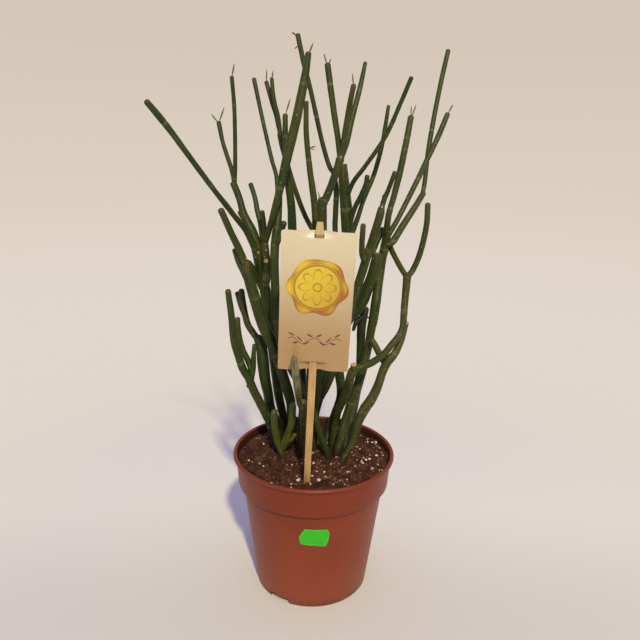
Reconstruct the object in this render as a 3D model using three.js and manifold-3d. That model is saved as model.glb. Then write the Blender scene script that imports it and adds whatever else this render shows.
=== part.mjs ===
// A potted euphorbia: many-branched round stems in a brown nursery pot, with a care card on a
// wooden stick. Millimetres, +Z up; the pot stands on z = 0 around the Z axis, its card facing -Y.
import * as THREE from 'three';
import { mergeVertices } from 'three/addons/utils/BufferGeometryUtils.js';
import Module from 'manifold-3d';

const wasm = await Module();
wasm.setup();

// Driving dimensions, mm and degrees
const gap = 0.3;
const pot = {
  sectors: 36,
  footInner: 44.4,
  footOuter: 46.1,
  wallSlope: 0.125,
  stepHeight: 90,
  collarBottom: 61,
  collarTop: 62.5,
  collarHeight: 111.4,
  wall: 1.4,
  plateHeight: 4.4,
  beadRadius: 1.6,
  beadCentre: 63.4,
  beadHeight: 113.4,
};
const drain = { holes: 6, holeRadius: 4, ring: 31, notches: 3, notchWidth: 17.6, notchHeight: 3.8 };
const notchAngle = -123;
const soil = { surface: 110.3, bump: 1.1, edgeDrop: 0.8 };
const stick = { halfWidth: 2.65, footHalfWidth: 2.4, topHalfWidth: 1.9, thickness: 1.3 };
const stickLength = { buried: 60, above: 202.4, taper: 6.3, point: 12 };
const card = { width: 48, height: 98.5, thickness: 0.6, bottom: 98.2, corner: 1.5 };
const slot = { halfWidth: 3.1, height: 2.7, lowerTop: 6.8, upperBottom: 94.1 };
const cardShift = stick.thickness / 2 + gap + card.thickness / 2;
const tagLean = 8;
const tagTilt = 1.67;
const tagFoot = [-4.7, -44.5, 108.4];
const sticker = { start: -11, end: 14.5, bottom: 60, top: 79, standOff: 0.25, thickness: 0.4 };
const thickSides = 8;
const slimSides = 6;
const slimBelow = 2.6;
const bentSpan = 0.16;
const holeClearance = 0.35;

// Stem centre lines: x, y, z and radius, from the root upwards; each later line is a branch.
const twinLeft = [
  [
    [-27, 3.5, 82.5, 3.3], [-28.5, 4.5, 110.5, 3.6], [-35.5, 8, 132, 3.7], [-40, 7, 143, 3.7],
    [-45, 6, 154, 3.5], [-49, 5, 163, 3.4], [-53, 4, 174, 3.3], [-57, 3, 181.5, 3.2],
    [-59.5, 2, 189.5, 3], [-63.5, -1, 206.5, 2.7], [-64.5, -5, 228, 2.6], [-66, -10, 248.5, 2.2],
  ],
  [
    [-50, 5, 178, 2.5], [-52.5, 7, 185, 2.5], [-55, 8, 190, 2.5], [-57.5, 9, 195, 2.4],
    [-60, 10, 203, 2.3], [-61.5, 11, 213, 2.2], [-62, 12, 221, 2.1],
  ],
  [
    [-52.5, 5, 166, 2.5], [-51, 5, 174, 2.6], [-49.5, 5.5, 182.5, 2.4], [-49, 6.5, 193, 1.9],
    [-48.5, 7.5, 201, 1.5],
  ],
];
const forkLeft = [
  [
    [-26.5, 20.5, 82.5, 3.5], [-27.5, 20.5, 110.5, 3.9], [-32, 20, 128, 4.2], [-36.5, 17, 143, 4],
    [-38.5, 14, 158.5, 4.1], [-40.5, 12, 170.5, 4.6], [-42, 12, 184.5, 4.9], [-43.5, 12, 198, 4.4],
    [-46.5, 12, 206, 3.5],
  ],
  [
    [-46.5, 12, 204.5, 2.6], [-50.5, 12.5, 210, 2.6], [-54.5, 13, 217, 2.6], [-57.5, 15, 230, 2.5],
    [-59.5, 18, 242.5, 2.4],
  ],
  [[-56, 14, 221, 2], [-60.5, 19, 230.5, 2], [-63.5, 23, 239, 2]],
];
const oliveTrunk = [
  [
    [-19, 18.5, 82.5, 3.1], [-18.5, 17, 110.5, 3.5], [-18, 12, 129.5, 3.7], [-19, 10.5, 142, 3.8],
    [-19.5, 9, 152, 4], [-22, 6.5, 163.5, 4.2], [-25, 4, 175, 4.1], [-32.5, 0, 200.5, 4.5],
    [-40.5, -4, 221, 4.6], [-46.5, -8, 243, 4.3], [-51.5, -10, 262.5, 3.9], [-52, -11, 271, 2.9],
  ],
  [[-52, -10.5, 267, 2.7], [-57, -13, 280, 2.7], [-62, -17, 292.5, 2.4], [-68, -24, 309.5, 2.3]],
  [[-50.5, -10, 253.5, 2.1], [-54.5, -9.5, 262.5, 2], [-58, -9, 270, 2], [-61, -8, 279, 1.9]],
];
const whorl = [
  [
    [-20.5, 35, 82.5, 3], [-21.5, 34, 110.5, 3.4], [-25.5, 30, 125.5, 3.4], [-28.5, 27, 140.5, 3.7],
    [-30.5, 25.5, 152, 3.8], [-32, 24, 166, 3.9], [-34.5, 21, 190, 4.1], [-36.5, 17, 214, 4.2],
    [-40, 12, 242.5, 4.3], [-42.5, 9, 256.5, 4.2], [-44, 7, 267, 4.3], [-45.5, 7, 275.5, 4.2],
  ],
  [
    [-45.5, 6, 273.5, 2.7], [-49.5, 2.5, 283.5, 2.5], [-53.5, -2.5, 293, 2.3], [-60, -11, 303.5, 2],
    [-65, -18, 312, 2], [-71.5, -26, 322.5, 1.8], [-86, -44, 347.5, 1.9], [-94.5, -50, 361, 2],
    [-101, -55, 370.5, 2.2], [-107.5, -60, 379.5, 1.9],
  ],
  [
    [-45, 7, 273, 4.3], [-47.5, 9, 282.5, 4.3], [-50.5, 11, 290.5, 4], [-54.5, 13, 298, 3.3],
    [-57.5, 14.5, 305.5, 2.7], [-60, 16.5, 314, 2.6], [-64.5, 18, 325, 2.6],
  ],
  [[-63.5, 17.5, 322.5, 1.6], [-65.5, 19, 334, 1.7], [-72, 22, 353, 1.6], [-75.5, 25, 368.5, 1.8]],
  [[-63.5, 17.5, 322.5, 1.6], [-62.5, 16, 341.5, 1.6], [-62, 12, 375.5, 1.5], [-63, 8, 399, 1.5]],
  [[-50, 10, 290, 2.1], [-54.5, 14, 295.5, 2.1], [-58, 16.5, 300.5, 2], [-60, 18, 303.5, 1.9]],
  [
    [-41, 5, 282, 2.2], [-42.5, 7, 291.5, 2], [-44, 9.5, 298.5, 1.9], [-46, 12, 305.5, 2],
    [-48, 15, 314.5, 1.8], [-51.5, 18, 324.5, 1.8],
  ],
  [[-39.5, 5, 282, 2.1], [-40, 2.5, 293.5, 2], [-40.5, 0.5, 300, 1.9], [-41, -2, 306.5, 1.7]],
  [
    [-42, 5, 276.5, 2.7], [-38, -1.5, 287, 2.3], [-35, -6, 296.5, 2.2], [-32.5, -9, 305.5, 2.3],
    [-30, -11, 314.5, 2.5], [-27.5, -11.5, 324, 2.8], [-23.5, -11, 342, 3.3], [-17, -10, 369, 3.3],
    [-13.5, -8, 386.5, 3.1], [-11, -7, 400, 2.7], [-9, -6, 414, 2.1],
  ],
  [
    [-40.5, 10.5, 246.5, 3.3], [-38.5, 5, 258, 3.3], [-38.5, 2, 267.5, 3.2], [-39, 0.5, 276, 3],
    [-39, -1, 283, 2.4],
  ],
  [[-43, 11, 246.5, 2.5], [-46, 6, 255.5, 2.6], [-49, 2, 263, 2.5], [-51.5, -1, 268.5, 2.1]],
];
const byCard = [
  [
    [11.5, -6, 82.5, 2.6], [11.5, -4.5, 110.5, 2.9], [5, -3, 129, 2.9], [-0.5, -3, 148, 2.9],
    [-10, -4, 169, 3.1], [-19.5, -5, 187, 3.2], [-26, -6, 203.5, 3.4], [-30, -6, 223.5, 3.4],
    [-31, -6, 240.5, 3.3], [-31.5, -5, 256, 3.3], [-32, -4.5, 268, 3.4], [-31.5, -3, 283.5, 3.3],
    [-30, 1, 298.5, 3], [-29.5, 6, 310.5, 2.6], [-29.5, 10, 321, 2.4],
  ],
  [
    [-30, 8.5, 317, 2.1], [-32, 14, 331.5, 1.6], [-36, 20, 343.5, 1.6], [-43.5, 28, 372.5, 1.6],
    [-50, 34, 400, 1.7],
  ],
  [[-30, -4.5, 283, 2], [-26.5, -9, 294, 2.2], [-24.5, -12, 300, 2.1]],
];
const slimStem = [
  [
    [-11.5, 43.5, 82.5, 2.4], [-12, 42, 108.5, 2.8], [-10.5, 34, 138, 3], [-11, 34, 170, 3.3],
    [-13, 33, 214, 3.4], [-17, 31, 256.5, 3.5], [-20, 29, 285, 3.6], [-21, 28, 306, 3.2],
    [-23.5, 28, 325, 2.8], [-26, 30, 349.5, 2.2], [-26.5, 32, 375, 2],
  ],
];
const crossing = [
  [
    [-3, 47, 82.5, 2.4], [-2.5, 46.5, 108.5, 2.8], [-0.5, 44, 129, 2.8], [2, 46, 151.5, 2.8],
    [8, 48, 188, 2.9], [12.5, 50, 218.5, 2.8], [9, 50, 253, 2.8], [0.5, 48, 278.5, 2.5],
    [-10, 46, 296.5, 2], [-18.5, 44, 317.5, 2.1], [-24, 44, 334, 2.1], [-29, 44, 351.5, 2.3],
    [-31, 44, 361, 2.5],
  ],
  [
    [-30.5, 44, 358, 1.8], [-32.5, 44, 373.5, 1.7], [-35, 44, 382.5, 1.7], [-36.5, 44, 391, 1.6],
    [-37.5, 44, 401.5, 1.5],
  ],
  [[-30.5, 44.5, 359, 1.9], [-34, 47, 373.5, 1.8], [-38, 50, 385.5, 1.9], [-42.5, 55, 399.5, 1.8]],
];
const brownStem = [
  [
    [-5, 35.5, 82.5, 2.4], [-5, 34.5, 108.5, 2.6], [-5.5, 26, 132.5, 2.5], [-4.5, 24, 165, 3],
    [-3, 22, 217.5, 3.2], [-2, 19, 267, 3.1], [-2, 18, 290.5, 2.8], [-2.5, 17, 302.5, 2.6],
    [-4, 16, 316.5, 2.6], [-7, 15, 335.5, 2.2], [-10, 14, 360.5, 2], [-10.5, 12, 384, 1.8],
  ],
];
const yTrunk = [
  [
    [0, 5.5, 82.5, 2.4], [0, 5.5, 110.5, 2.8], [0, 6, 131, 2.8], [0.5, 3, 151.5, 2.8],
    [2, 1.5, 169.5, 3.1], [2, 0, 191.5, 3.2], [2, -4, 241, 3.5], [2.5, -8, 287, 3.9],
    [2.5, -9, 309, 3.5], [2.5, -9, 317, 3.2],
  ],
  [[2.5, -9, 311, 2.7], [8, -10, 325, 2.7], [12, -11, 336.5, 2.7], [14.5, -12, 345.5, 3]],
  [[14.5, -12, 342.5, 1.9], [12.5, -12, 358, 2.1], [8.5, -11, 380, 2.2], [4, -9, 407, 2.2]],
  [[14.5, -12, 343, 2], [17, -16, 361.5, 2.1], [19, -20, 378, 1.9], [21.5, -24, 393, 1.8]],
  [
    [13.5, -12, 342.5, 2.2], [18, -11, 355.5, 2.4], [22, -6, 373, 2.1], [27, 0, 392.5, 1.8],
    [30.5, 6, 410, 1.4],
  ],
];
const thickCut = [
  [
    [-3, 19.5, 82.5, 2.5], [-2, 21.5, 110.5, 2.8], [0, 27, 122.5, 2.8], [1.5, 29, 135, 3],
    [4.5, 31, 148, 3.4], [8.5, 33, 163.5, 3.7], [15, 34.5, 188, 3.8], [21, 31, 215.5, 4],
    [24, 30, 241, 4.4], [23.5, 30, 277.5, 4.6], [22, 30, 301, 4.8], [19, 30, 327, 4.1],
    [18, 30, 340, 2.9],
  ],
  [
    [24, 31, 238, 2.1], [16.5, 34, 271, 2.2], [13.5, 36, 288.5, 2.2], [13.5, 37, 304, 2.2],
    [13.5, 37, 319.5, 2.2], [11, 37, 332.5, 1.9], [7.5, 37, 338, 1.9], [1.5, 38, 356.5, 1.8],
    [-5.5, 38, 384, 1.8], [-8.5, 38, 395.5, 1.8], [-13.5, 38, 413, 1.9], [-18, 38, 431.5, 1.9],
  ],
  [
    [20, 30, 310, 2], [25.5, 22, 326.5, 1.8], [34, 15, 339.5, 1.7], [47, 8, 360.5, 1.7],
    [56.5, 4, 384, 1.6], [62.5, 0, 400.5, 1.6],
  ],
  [
    [24, 30.5, 278, 2.1], [28.5, 34, 291.5, 2.1], [31.5, 36, 300, 2], [34.5, 38, 310, 1.8],
    [38, 39, 319.5, 1.8], [43, 41, 332.5, 1.9], [47.5, 43, 350.5, 1.8], [50, 44, 366.5, 1.7],
    [52, 45, 383.5, 1.4],
  ],
  [
    [22.5, 29.5, 284, 2], [27, 25, 305, 2], [32.5, 22, 318, 2], [35.5, 21, 326.5, 1.9],
    [36, 20, 332, 1.9],
  ],
];
const straightStem = [
  [
    [-12, 8, 82.5, 2.4], [-11.5, 9.5, 110.5, 2.7], [-10, 13.5, 121.5, 2.8], [-6.5, 17, 131, 3],
    [-1.5, 16.5, 142, 3.2], [5, 15.5, 155, 3.3], [11, 14, 168.5, 3.3], [18.5, 12, 193.5, 3.4],
    [28.5, 8, 238.5, 3.4], [36.5, 4, 271, 3.3], [41, 2, 288, 3.1], [45.5, 0, 307, 3],
    [45.5, 0, 311, 2.3],
  ],
  [[45.5, 0, 307, 2], [47.5, 0, 316, 1.9], [50.5, -1, 324.5, 1.7], [54, -4, 336.5, 1.7]],
  [[46, 0, 311, 1.2], [47, 1.5, 316, 1.1], [47.5, 3, 319.5, 1]],
  [
    [35.5, 3, 269.5, 2.3], [33, -1, 277.5, 2.3], [32.5, -3, 285, 2.1], [32.5, -6, 292.5, 2.1],
    [32.5, -8, 299, 2],
  ],
];
const rightMain = [
  [
    [17.5, -1, 82.5, 3.3], [19, 0, 110.5, 3.6], [21.5, 3, 120, 3.7], [23.5, 5, 129, 3.8],
    [25.5, 7, 137, 3.8], [28, 8.5, 145.5, 3.8], [30.5, 10, 153.5, 3.9], [33.5, 10.5, 162.5, 3.9],
    [36.5, 11, 174.5, 3.8], [39.5, 12, 187, 3.5], [42, 12, 200.5, 3.1], [43.5, 12, 214, 3.4],
    [45, 13, 222.5, 3.7], [46.5, 15, 236, 3.9], [48, 20, 246.5, 3.6], [49.5, 23, 259.5, 3.6],
    [50.5, 22.5, 269, 3.5], [52, 22, 278, 3.4], [52.5, 20, 285.5, 3.1], [52.5, 17, 295, 2.5],
    [53, 15, 304.5, 2.3],
  ],
  [
    [53, 15, 303.5, 2.3], [54.5, 15.5, 310.5, 2.2], [56, 16, 316, 2.3], [60, 20, 333, 2.5],
    [64, 24, 354, 2.4], [67.5, 28, 375.5, 2.3],
  ],
  [
    [53, 20, 280, 2.5], [58, 22, 282.5, 2.8], [66, 29, 294, 2.7], [77, 38, 309.5, 2.4],
    [83, 44, 318.5, 2.3],
  ],
  [
    [82, 43, 316.5, 1.8], [84, 47, 328, 1.9], [86, 53, 349.5, 2], [90, 60, 376, 2],
    [95.5, 67, 407, 2], [100, 72, 428.5, 1.9],
  ],
  [
    [53, 18.5, 285.5, 2.1], [55.5, 18, 291, 2.1], [61.5, 22, 301, 2], [76.5, 36, 329, 2.1],
    [83.5, 44, 342.5, 2.1], [93.5, 54, 362, 2.2], [101.5, 62, 380.5, 2.1],
  ],
];
const behindStem = [
  [
    [10, 19, 82.5, 3], [11, 22, 110.5, 3.3], [12.5, 27, 117.5, 3.4], [15.5, 30, 127, 3.4],
    [18.5, 29, 137, 3.4], [21.5, 28, 147.5, 3.6], [22, 28, 156.5, 3.8], [20.5, 27.5, 167.5, 3.9],
    [18.5, 26.5, 182, 4], [18.5, 24, 196, 4.3], [22, 22, 211.5, 4.5], [27, 20, 222, 4.5],
    [32.5, 18.5, 229, 4.5], [36.5, 17.5, 236, 4.6], [39.5, 16.5, 246, 4.6], [42.5, 16, 255, 4.5],
    [44.5, 15.5, 263.5, 4.4], [45.5, 15, 270, 4], [46, 15, 274.5, 3.7],
  ],
  [[41.5, 18, 271.5, 2.1], [46, 25, 281.5, 2.2], [49, 27, 287.5, 2.2], [50.5, 28, 292, 1.9]],
];
const elbowStem = [
  [
    [14, 10.5, 82.5, 2.7], [15, 11.5, 110.5, 3.1], [16, 12.5, 117, 3.2], [17, 13, 127, 3.2],
    [18, 11, 137, 3], [19.5, 7, 146.5, 3], [22, 2.5, 155, 3.1], [24, -2, 164, 3.4],
    [26, -7, 173.5, 3.5], [27, -11.5, 182.5, 3.4], [28.5, -14.5, 189.5, 3.3],
  ],
  [
    [27.5, -12.5, 185.5, 2.9], [30.5, -15, 191, 3.1], [35, -15.5, 192.5, 2.8], [43, -15, 196, 2.7],
    [51.5, -14, 202.5, 2.6], [56.5, -12.5, 208.5, 2.6], [62.5, -10.5, 216, 2.6],
    [65.5, -8.5, 222.5, 2.6], [66, -6.5, 231, 2.6], [66.5, -4, 240, 2.7], [67.5, -1, 255.5, 3],
    [67.5, -1, 260, 3.2],
  ],
  [[29, -15, 189, 2.5], [29, -17.5, 195, 2.3]],
  [
    [67.5, -1, 259.5, 2.2], [71.5, -3, 266, 2.2], [75.5, -6, 279.5, 2.2], [78, -10, 299.5, 2.1],
    [77.5, -13, 315.5, 2],
  ],
  [
    [67.5, -1, 259.5, 2.1], [63.5, 10, 265, 2.1], [57.5, 24.5, 276, 2.2], [55, 26.5, 283.5, 1.9],
    [54, 24.5, 290, 1.8],
  ],
];
const blackKnee = [
  [
    [24, 5.5, 82.5, 2.5], [25.5, 8, 110.5, 2.7], [27.5, 13, 118, 2.9], [30, 18, 126.5, 3.1],
    [32, 22, 135, 3.3], [33.5, 24, 145, 3.4], [35.5, 26, 158, 3.4], [37, 27.5, 173.5, 3.4],
    [37, 28.5, 195, 3.5], [37, 29, 210.5, 3.7], [38.5, 30, 220.5, 3.5], [40, 30.5, 226.5, 2.9],
  ],
  [[37, 28, 220, 2.1], [32.5, 25, 216.5, 2], [30, 23, 209.5, 1.3]],
];
const rightFork = [
  [
    [21, -15, 82.5, 2.4], [23, -13, 110.5, 2.6], [26, -10.5, 116, 2.7], [29, -9, 121.5, 2.7],
    [31.5, -8, 127.5, 2.8], [33.5, -8, 135, 3], [35, -8, 143, 3.4], [37, -8, 149, 3.8],
    [39.5, -8, 155, 4.1], [43.5, -8, 161.5, 4], [47, -8, 169, 3.8], [49.5, -7.5, 176, 3.5],
    [51.5, -7, 183.5, 3.3], [53.5, -6, 189, 3.5], [56.5, -5, 194, 3.5], [61, -3, 199, 3],
    [65, 0, 206, 2.6], [67.5, 2.5, 214, 2.6], [69, 3.5, 220, 2.3], [70, 4, 223, 2],
  ],
  [[55, -5, 190, 2.5], [56.5, -4.5, 195, 3], [58, -4, 197.5, 2.8]],
  [[55, -5, 189, 1.9], [50.5, -1, 196.5, 2.6], [46.5, 1.5, 203.5, 2.6], [43.5, 3, 209, 2]],
];
const frontSprout = [
  [
    [-9.5, -1.5, 82.5, 2.1], [-9.5, -3.5, 110.5, 2.5], [-9, -18, 142, 2.4], [-8.5, -33, 163, 2.3],
    [-8, -38, 173, 2.3],
  ],
  [
    [-9, -34, 164.5, 2.2], [-11, -39.5, 173, 2.4], [-12, -46.5, 183, 2.5], [-13, -56.5, 196.5, 2.7],
    [-13.5, -65.5, 206.5, 2.7], [-14.5, -71.5, 218, 2.1],
  ],
];
const frontKnot = [
  [
    [-23, -7.5, 82.5, 2.4], [-24.5, -7.5, 110.5, 2.7], [-29, -7, 124, 2.9], [-31, -12, 141.5, 2.8],
    [-31, -15, 154.5, 2.6],
  ],
  [
    [-25.5, -6, 116, 2.2], [-22.5, -9, 126, 3.5], [-20, -12, 135.5, 2.9], [-17.5, -15, 145.5, 2.8],
    [-16.5, -20, 162.5, 2.6],
  ],
  [[-21, -10, 127, 1.9], [-18, -11, 128.5, 2], [-15, -13, 134, 1.8]],
];
// Small leaves at the growing tips: foot, point and width
const leaves = {
  whorl: [
    [[-75.5, 25, 367.5], [-81, 25, 374.5], 2.2],
    [[-75.5, 25, 367.5], [-71, 25, 379.5], 2.4],
    [[-63, 8, 398], [-61, 8, 408], 2.2],
    [[-9, -6, 413], [-6, -6, 420.5], 2.6],
  ],
  slimStem: [[[-26.5, 32, 374], [-22.5, 32, 387], 2.4]],
  crossing: [
    [[-42.5, 55, 398.5], [-42, 55, 409], 2.2],
    [[-37.5, 44, 400.5], [-36.5, 44, 407], 2],
  ],
  yTrunk: [
    [[4, -9, 406], [1.5, -9, 414], 2.2],
    [[4, -9, 406], [6.5, -9, 410.5], 1.8],
    [[21.5, -24, 392], [20.5, -24, 400.5], 2.2],
    [[1.5, -10.5, 313], [-1, -13, 323], 1.8],
  ],
  thickCut: [
    [[-18, 38, 430.5], [-22.5, 37, 433], 2.6],
    [[-17.5, 38, 424], [-20.5, 36, 421], 2],
  ],
  rightMain: [
    [[67.5, 28, 374.5], [67.5, 28, 383], 2],
    [[67.5, 28, 374.5], [70.5, 28, 384.5], 2.2],
    [[101.5, 62, 379.5], [105, 62, 386.5], 2.8],
  ],
  frontSprout: [[[-14.5, -71, 217], [-15, -71.5, 221], 1.8]],
};

function position(geometry) {
  return geometry.getAttribute('position');
}

// Welds a geometry and drops triangles that closed up at a pole.
function weld(geometry) {
  const bare = geometry.clone();
  bare.deleteAttribute('normal');
  bare.deleteAttribute('uv');
  const merged = mergeVertices(bare, 1e-4);
  const index = Array.from(merged.index.array);
  const kept = [];
  for (let i = 0; i < index.length; i += 3) {
    const [a, b, c] = index.slice(i, i + 3);
    if (a !== b && b !== c && c !== a) {
      kept.push(a, b, c);
    }
  }
  merged.setIndex(kept);
  return merged;
}

function solidOf(geometry) {
  const welded = weld(geometry);
  const mesh = new wasm.Mesh({
    numProp: 3,
    vertProperties: new Float32Array(position(welded).array),
    triVerts: new Uint32Array(welded.index.array),
  });
  return new wasm.Manifold(mesh);
}

function geometryOf(solid) {
  const mesh = solid.getMesh();
  const geometry = new THREE.BufferGeometry();
  geometry.setAttribute('position', new THREE.BufferAttribute(mesh.vertProperties, mesh.numProp));
  geometry.setIndex(new THREE.BufferAttribute(mesh.triVerts, 1));
  geometry.computeVertexNormals();
  return geometry;
}

function united(solids) {
  return solids.reduce((whole, next) => whole.add(next));
}

// Moves every vertex of a geometry to where place() puts it.
function reshape(geometry, place) {
  const points = position(geometry);
  const vertex = new THREE.Vector3();
  for (let i = 0; i < points.count; i += 1) {
    vertex.fromBufferAttribute(points, i);
    const moved = place(vertex);
    points.setXYZ(i, moved.x, moved.y, moved.z);
  }
  return geometry;
}

function upright(geometry) {
  return geometry.rotateX(Math.PI / 2);
}

function lathe(profile, sectors) {
  return upright(new THREE.LatheGeometry(profile.map(([r, z]) => new THREE.Vector2(r, z)), sectors));
}

function wallRadius(z) {
  return pot.footOuter + pot.wallSlope * z;
}

function beadProfile() {
  const points = [];
  for (let turn = -112.5; turn <= 187.5; turn += 37.5) {
    const angle = THREE.MathUtils.degToRad(turn);
    points.push([
      pot.beadCentre + pot.beadRadius * Math.cos(angle),
      pot.beadHeight + pot.beadRadius * Math.sin(angle),
    ]);
  }
  return points;
}

// Foot ring, tapered wall, step out to the collar, round rim, then back down inside to the plate.
function potShell() {
  const step = pot.stepHeight;
  const inside = pot.collarBottom - pot.wall;
  const plateTop = pot.plateHeight + pot.wall;
  const profile = [
    [0, pot.plateHeight],
    [pot.footInner, pot.plateHeight],
    [pot.footInner, 0],
    [pot.footOuter, 0],
    [wallRadius(step - 1.2), step - 1.2],
    [wallRadius(step) + 0.3, step - 0.3],
    [wallRadius(step) + 1, step],
    [pot.collarBottom - 0.7, step],
    [pot.collarBottom, step + 0.7],
    [pot.collarTop, pot.collarHeight],
    ...beadProfile(),
    [pot.collarTop - pot.wall, pot.collarHeight],
    [inside + 0.1, step + 1.8],
    [inside - 0.5, step + 1.3],
    [wallRadius(step) - pot.wall + 0.7, step + 1.3],
    [wallRadius(step) - pot.wall, step + 0.6],
    [wallRadius(plateTop + 1) - pot.wall, plateTop + 1],
    [wallRadius(plateTop) - pot.wall - 0.8, plateTop],
    [0, plateTop],
  ];
  return solidOf(lathe(profile, pot.sectors));
}

function drainHole(turn) {
  const hole = upright(new THREE.CylinderGeometry(drain.holeRadius, drain.holeRadius, 4, 12));
  hole.translate(drain.ring, 0, pot.plateHeight + pot.wall / 2);
  return solidOf(hole.rotateZ(turn));
}

function drainNotch(turn) {
  const notch = new THREE.BoxGeometry(8, drain.notchWidth, drain.notchHeight * 2);
  notch.translate(pot.footOuter - 1, 0, 0);
  return solidOf(notch.rotateZ(turn));
}

function makePot() {
  let shell = potShell();
  for (let i = 0; i < drain.holes; i += 1) {
    shell = shell.subtract(drainHole((i / drain.holes) * Math.PI * 2));
  }
  for (let i = 0; i < drain.notches; i += 1) {
    const turn = THREE.MathUtils.degToRad(notchAngle + (i * 360) / drain.notches);
    shell = shell.subtract(drainNotch(turn));
  }
  return shell;
}

// Centre, direction and radius at each ring of a stem, with a rounded tip.
function stemStations(points, grow) {
  const line = points.map(([x, y, z]) => new THREE.Vector3(x, y, z));
  const curve = new THREE.CatmullRomCurve3(line, false, 'catmullrom', 0.5);
  const spans = points.length - 1;
  const stations = [];
  for (let i = 0; i < spans; i += 1) {
    const bend = curve.getTangent(i / spans).angleTo(curve.getTangent((i + 1) / spans));
    const parts = bend > bentSpan ? 2 : 1;
    for (let k = 0; k < parts; k += 1) {
      const share = k / parts;
      const t = (i + share) / spans;
      const radius = THREE.MathUtils.lerp(points[i][3], points[i + 1][3], share) + grow;
      stations.push({ centre: curve.getPoint(t), along: curve.getTangent(t), radius });
    }
  }
  const tip = curve.getPoint(1);
  const along = curve.getTangent(1);
  const radius = points[spans][3] + grow;
  const back = (share) => tip.clone().addScaledVector(along, grow - share * radius);
  stations[0].centre.addScaledVector(stations[0].along, -grow);
  stations.push({ centre: back(0.5), along, radius });
  stations.push({ centre: back(0.12), along, radius: radius * 0.72 });
  stations.push({ centre: back(0), along, radius: 0 });
  return stations;
}

// A round stem: a plain turned shape whose rings are carried along the centre line.
function stemTube(points, grow = 0) {
  const stations = stemStations(points, grow);
  const sides = points[0][3] < slimBelow && points[1][3] < slimBelow ? slimSides : thickSides;
  const profile = [new THREE.Vector2(0, 0)];
  stations.forEach((station, i) => profile.push(new THREE.Vector2(station.radius > 0 ? 1 : 0, i)));
  const across = new THREE.Vector3(1, 0, 0);
  const frames = stations.map(({ along }) => {
    across.addScaledVector(along, -across.dot(along)).normalize();
    return [across.clone(), new THREE.Vector3().crossVectors(along, across)];
  });
  const turned = new THREE.LatheGeometry(profile, sides);
  const placed = reshape(turned, (vertex) => {
    const ring = Math.round(vertex.y);
    const { centre, radius } = stations[ring];
    const [u, v] = frames[ring];
    return centre.clone().addScaledVector(u, vertex.z * radius).addScaledVector(v, vertex.x * radius);
  });
  return solidOf(placed);
}

// A small pointed leaf blade, thicker along its middle.
function leafBlade([foot, point, width]) {
  const from = new THREE.Vector3(...foot);
  const to = new THREE.Vector3(...point);
  const length = from.distanceTo(to);
  const profile = [[0, 0], [0.3, 0.1], [0.5, 0.5], [0.3, 0.85], [0, 1]];
  const blade = lathe(profile.map(([r, z]) => [r, z * length]), 6);
  blade.scale(width, 0.9, 1);
  const turn = new THREE.Quaternion().setFromUnitVectors(
    new THREE.Vector3(0, 0, 1),
    to.clone().sub(from).normalize(),
  );
  blade.applyQuaternion(turn);
  blade.translate(from.x, from.y, from.z);
  return solidOf(blade);
}

function makeStem(lines, blades = []) {
  return united([...lines.map((line) => stemTube(line)), ...blades.map(leafBlade)]);
}

// The hole a stem stands in: the same stem, a little thicker, up to just above the soil.
function stemHole(lines) {
  return stemTube(lines[0].slice(0, 4), holeClearance);
}

function soilHeight(x, y) {
  const coarse = Math.sin(0.21 * x + 1.3) * Math.cos(0.17 * y - 0.4);
  const fine = Math.sin(0.53 * x - 0.31 * y + 2.1) * 0.5;
  const edge = Math.max(0, (Math.hypot(x, y) - 50) / 10) ** 2;
  return soil.surface + soil.bump * (coarse + fine) - soil.edgeDrop * edge;
}

function soilBody() {
  const step = pot.stepHeight;
  const floor = pot.plateHeight + pot.wall + gap;
  const inner = (z) => wallRadius(z) - pot.wall - gap;
  const rings = [57, 50, 43, 36, 28, 19, 9];
  const profile = [
    [0, floor],
    [inner(floor) - 0.9, floor],
    [inner(floor + 1.2), floor + 1.2],
    [inner(step), step + 0.9],
    [inner(step) + 0.8, step + 1.6],
    [pot.collarBottom - pot.wall - gap - 0.5, step + 1.6],
    [pot.collarBottom - pot.wall - gap, step + 2.2],
    [pot.collarTop - pot.wall - gap - 0.3, soil.surface - 1.5],
    ...rings.map((r) => [r, soil.surface]),
    [0, soil.surface],
  ];
  const turned = lathe(profile, pot.sectors);
  reshape(turned, (vertex) => {
    if (vertex.z > soil.surface - 0.1) {
      vertex.z = soilHeight(vertex.x, vertex.y);
    }
    return vertex;
  });
  return solidOf(turned);
}

// Sets a piece of the tag from its own frame (up along the stick) into the pot.
function lean(geometry) {
  geometry.rotateX(THREE.MathUtils.degToRad(tagLean));
  geometry.rotateY(THREE.MathUtils.degToRad(tagTilt));
  return geometry.translate(...tagFoot);
}

function stickHole() {
  const { buried } = stickLength;
  const above = 8;
  const size = [2 * (stick.halfWidth + holeClearance), stick.thickness + 2 * holeClearance];
  const hole = new THREE.BoxGeometry(...size, buried + above + holeClearance);
  hole.translate(0, 0, (above - buried - holeClearance) / 2);
  return solidOf(lean(hole));
}

function makeSoil(stems) {
  const holes = stems.map((lines) => stemHole(lines));
  return soilBody().subtract(united([...holes, stickHole()]));
}

function makeStick() {
  const { buried, above, taper, point } = stickLength;
  const half = [
    [0.8, -buried],
    [stick.footHalfWidth, point - buried],
    [stick.footHalfWidth, 10],
    [stick.halfWidth, 90],
    [stick.halfWidth, above - taper],
    [stick.topHalfWidth, above],
  ];
  const right = half.map(([x, z]) => new THREE.Vector2(x, z));
  const left = half.map(([x, z]) => new THREE.Vector2(-x, z)).reverse();
  const outline = new THREE.Shape([...right, ...left]);
  const bar = new THREE.ExtrudeGeometry(outline, { depth: stick.thickness, bevelEnabled: false });
  bar.translate(0, 0, -stick.thickness / 2);
  return solidOf(lean(upright(bar)));
}

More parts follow.
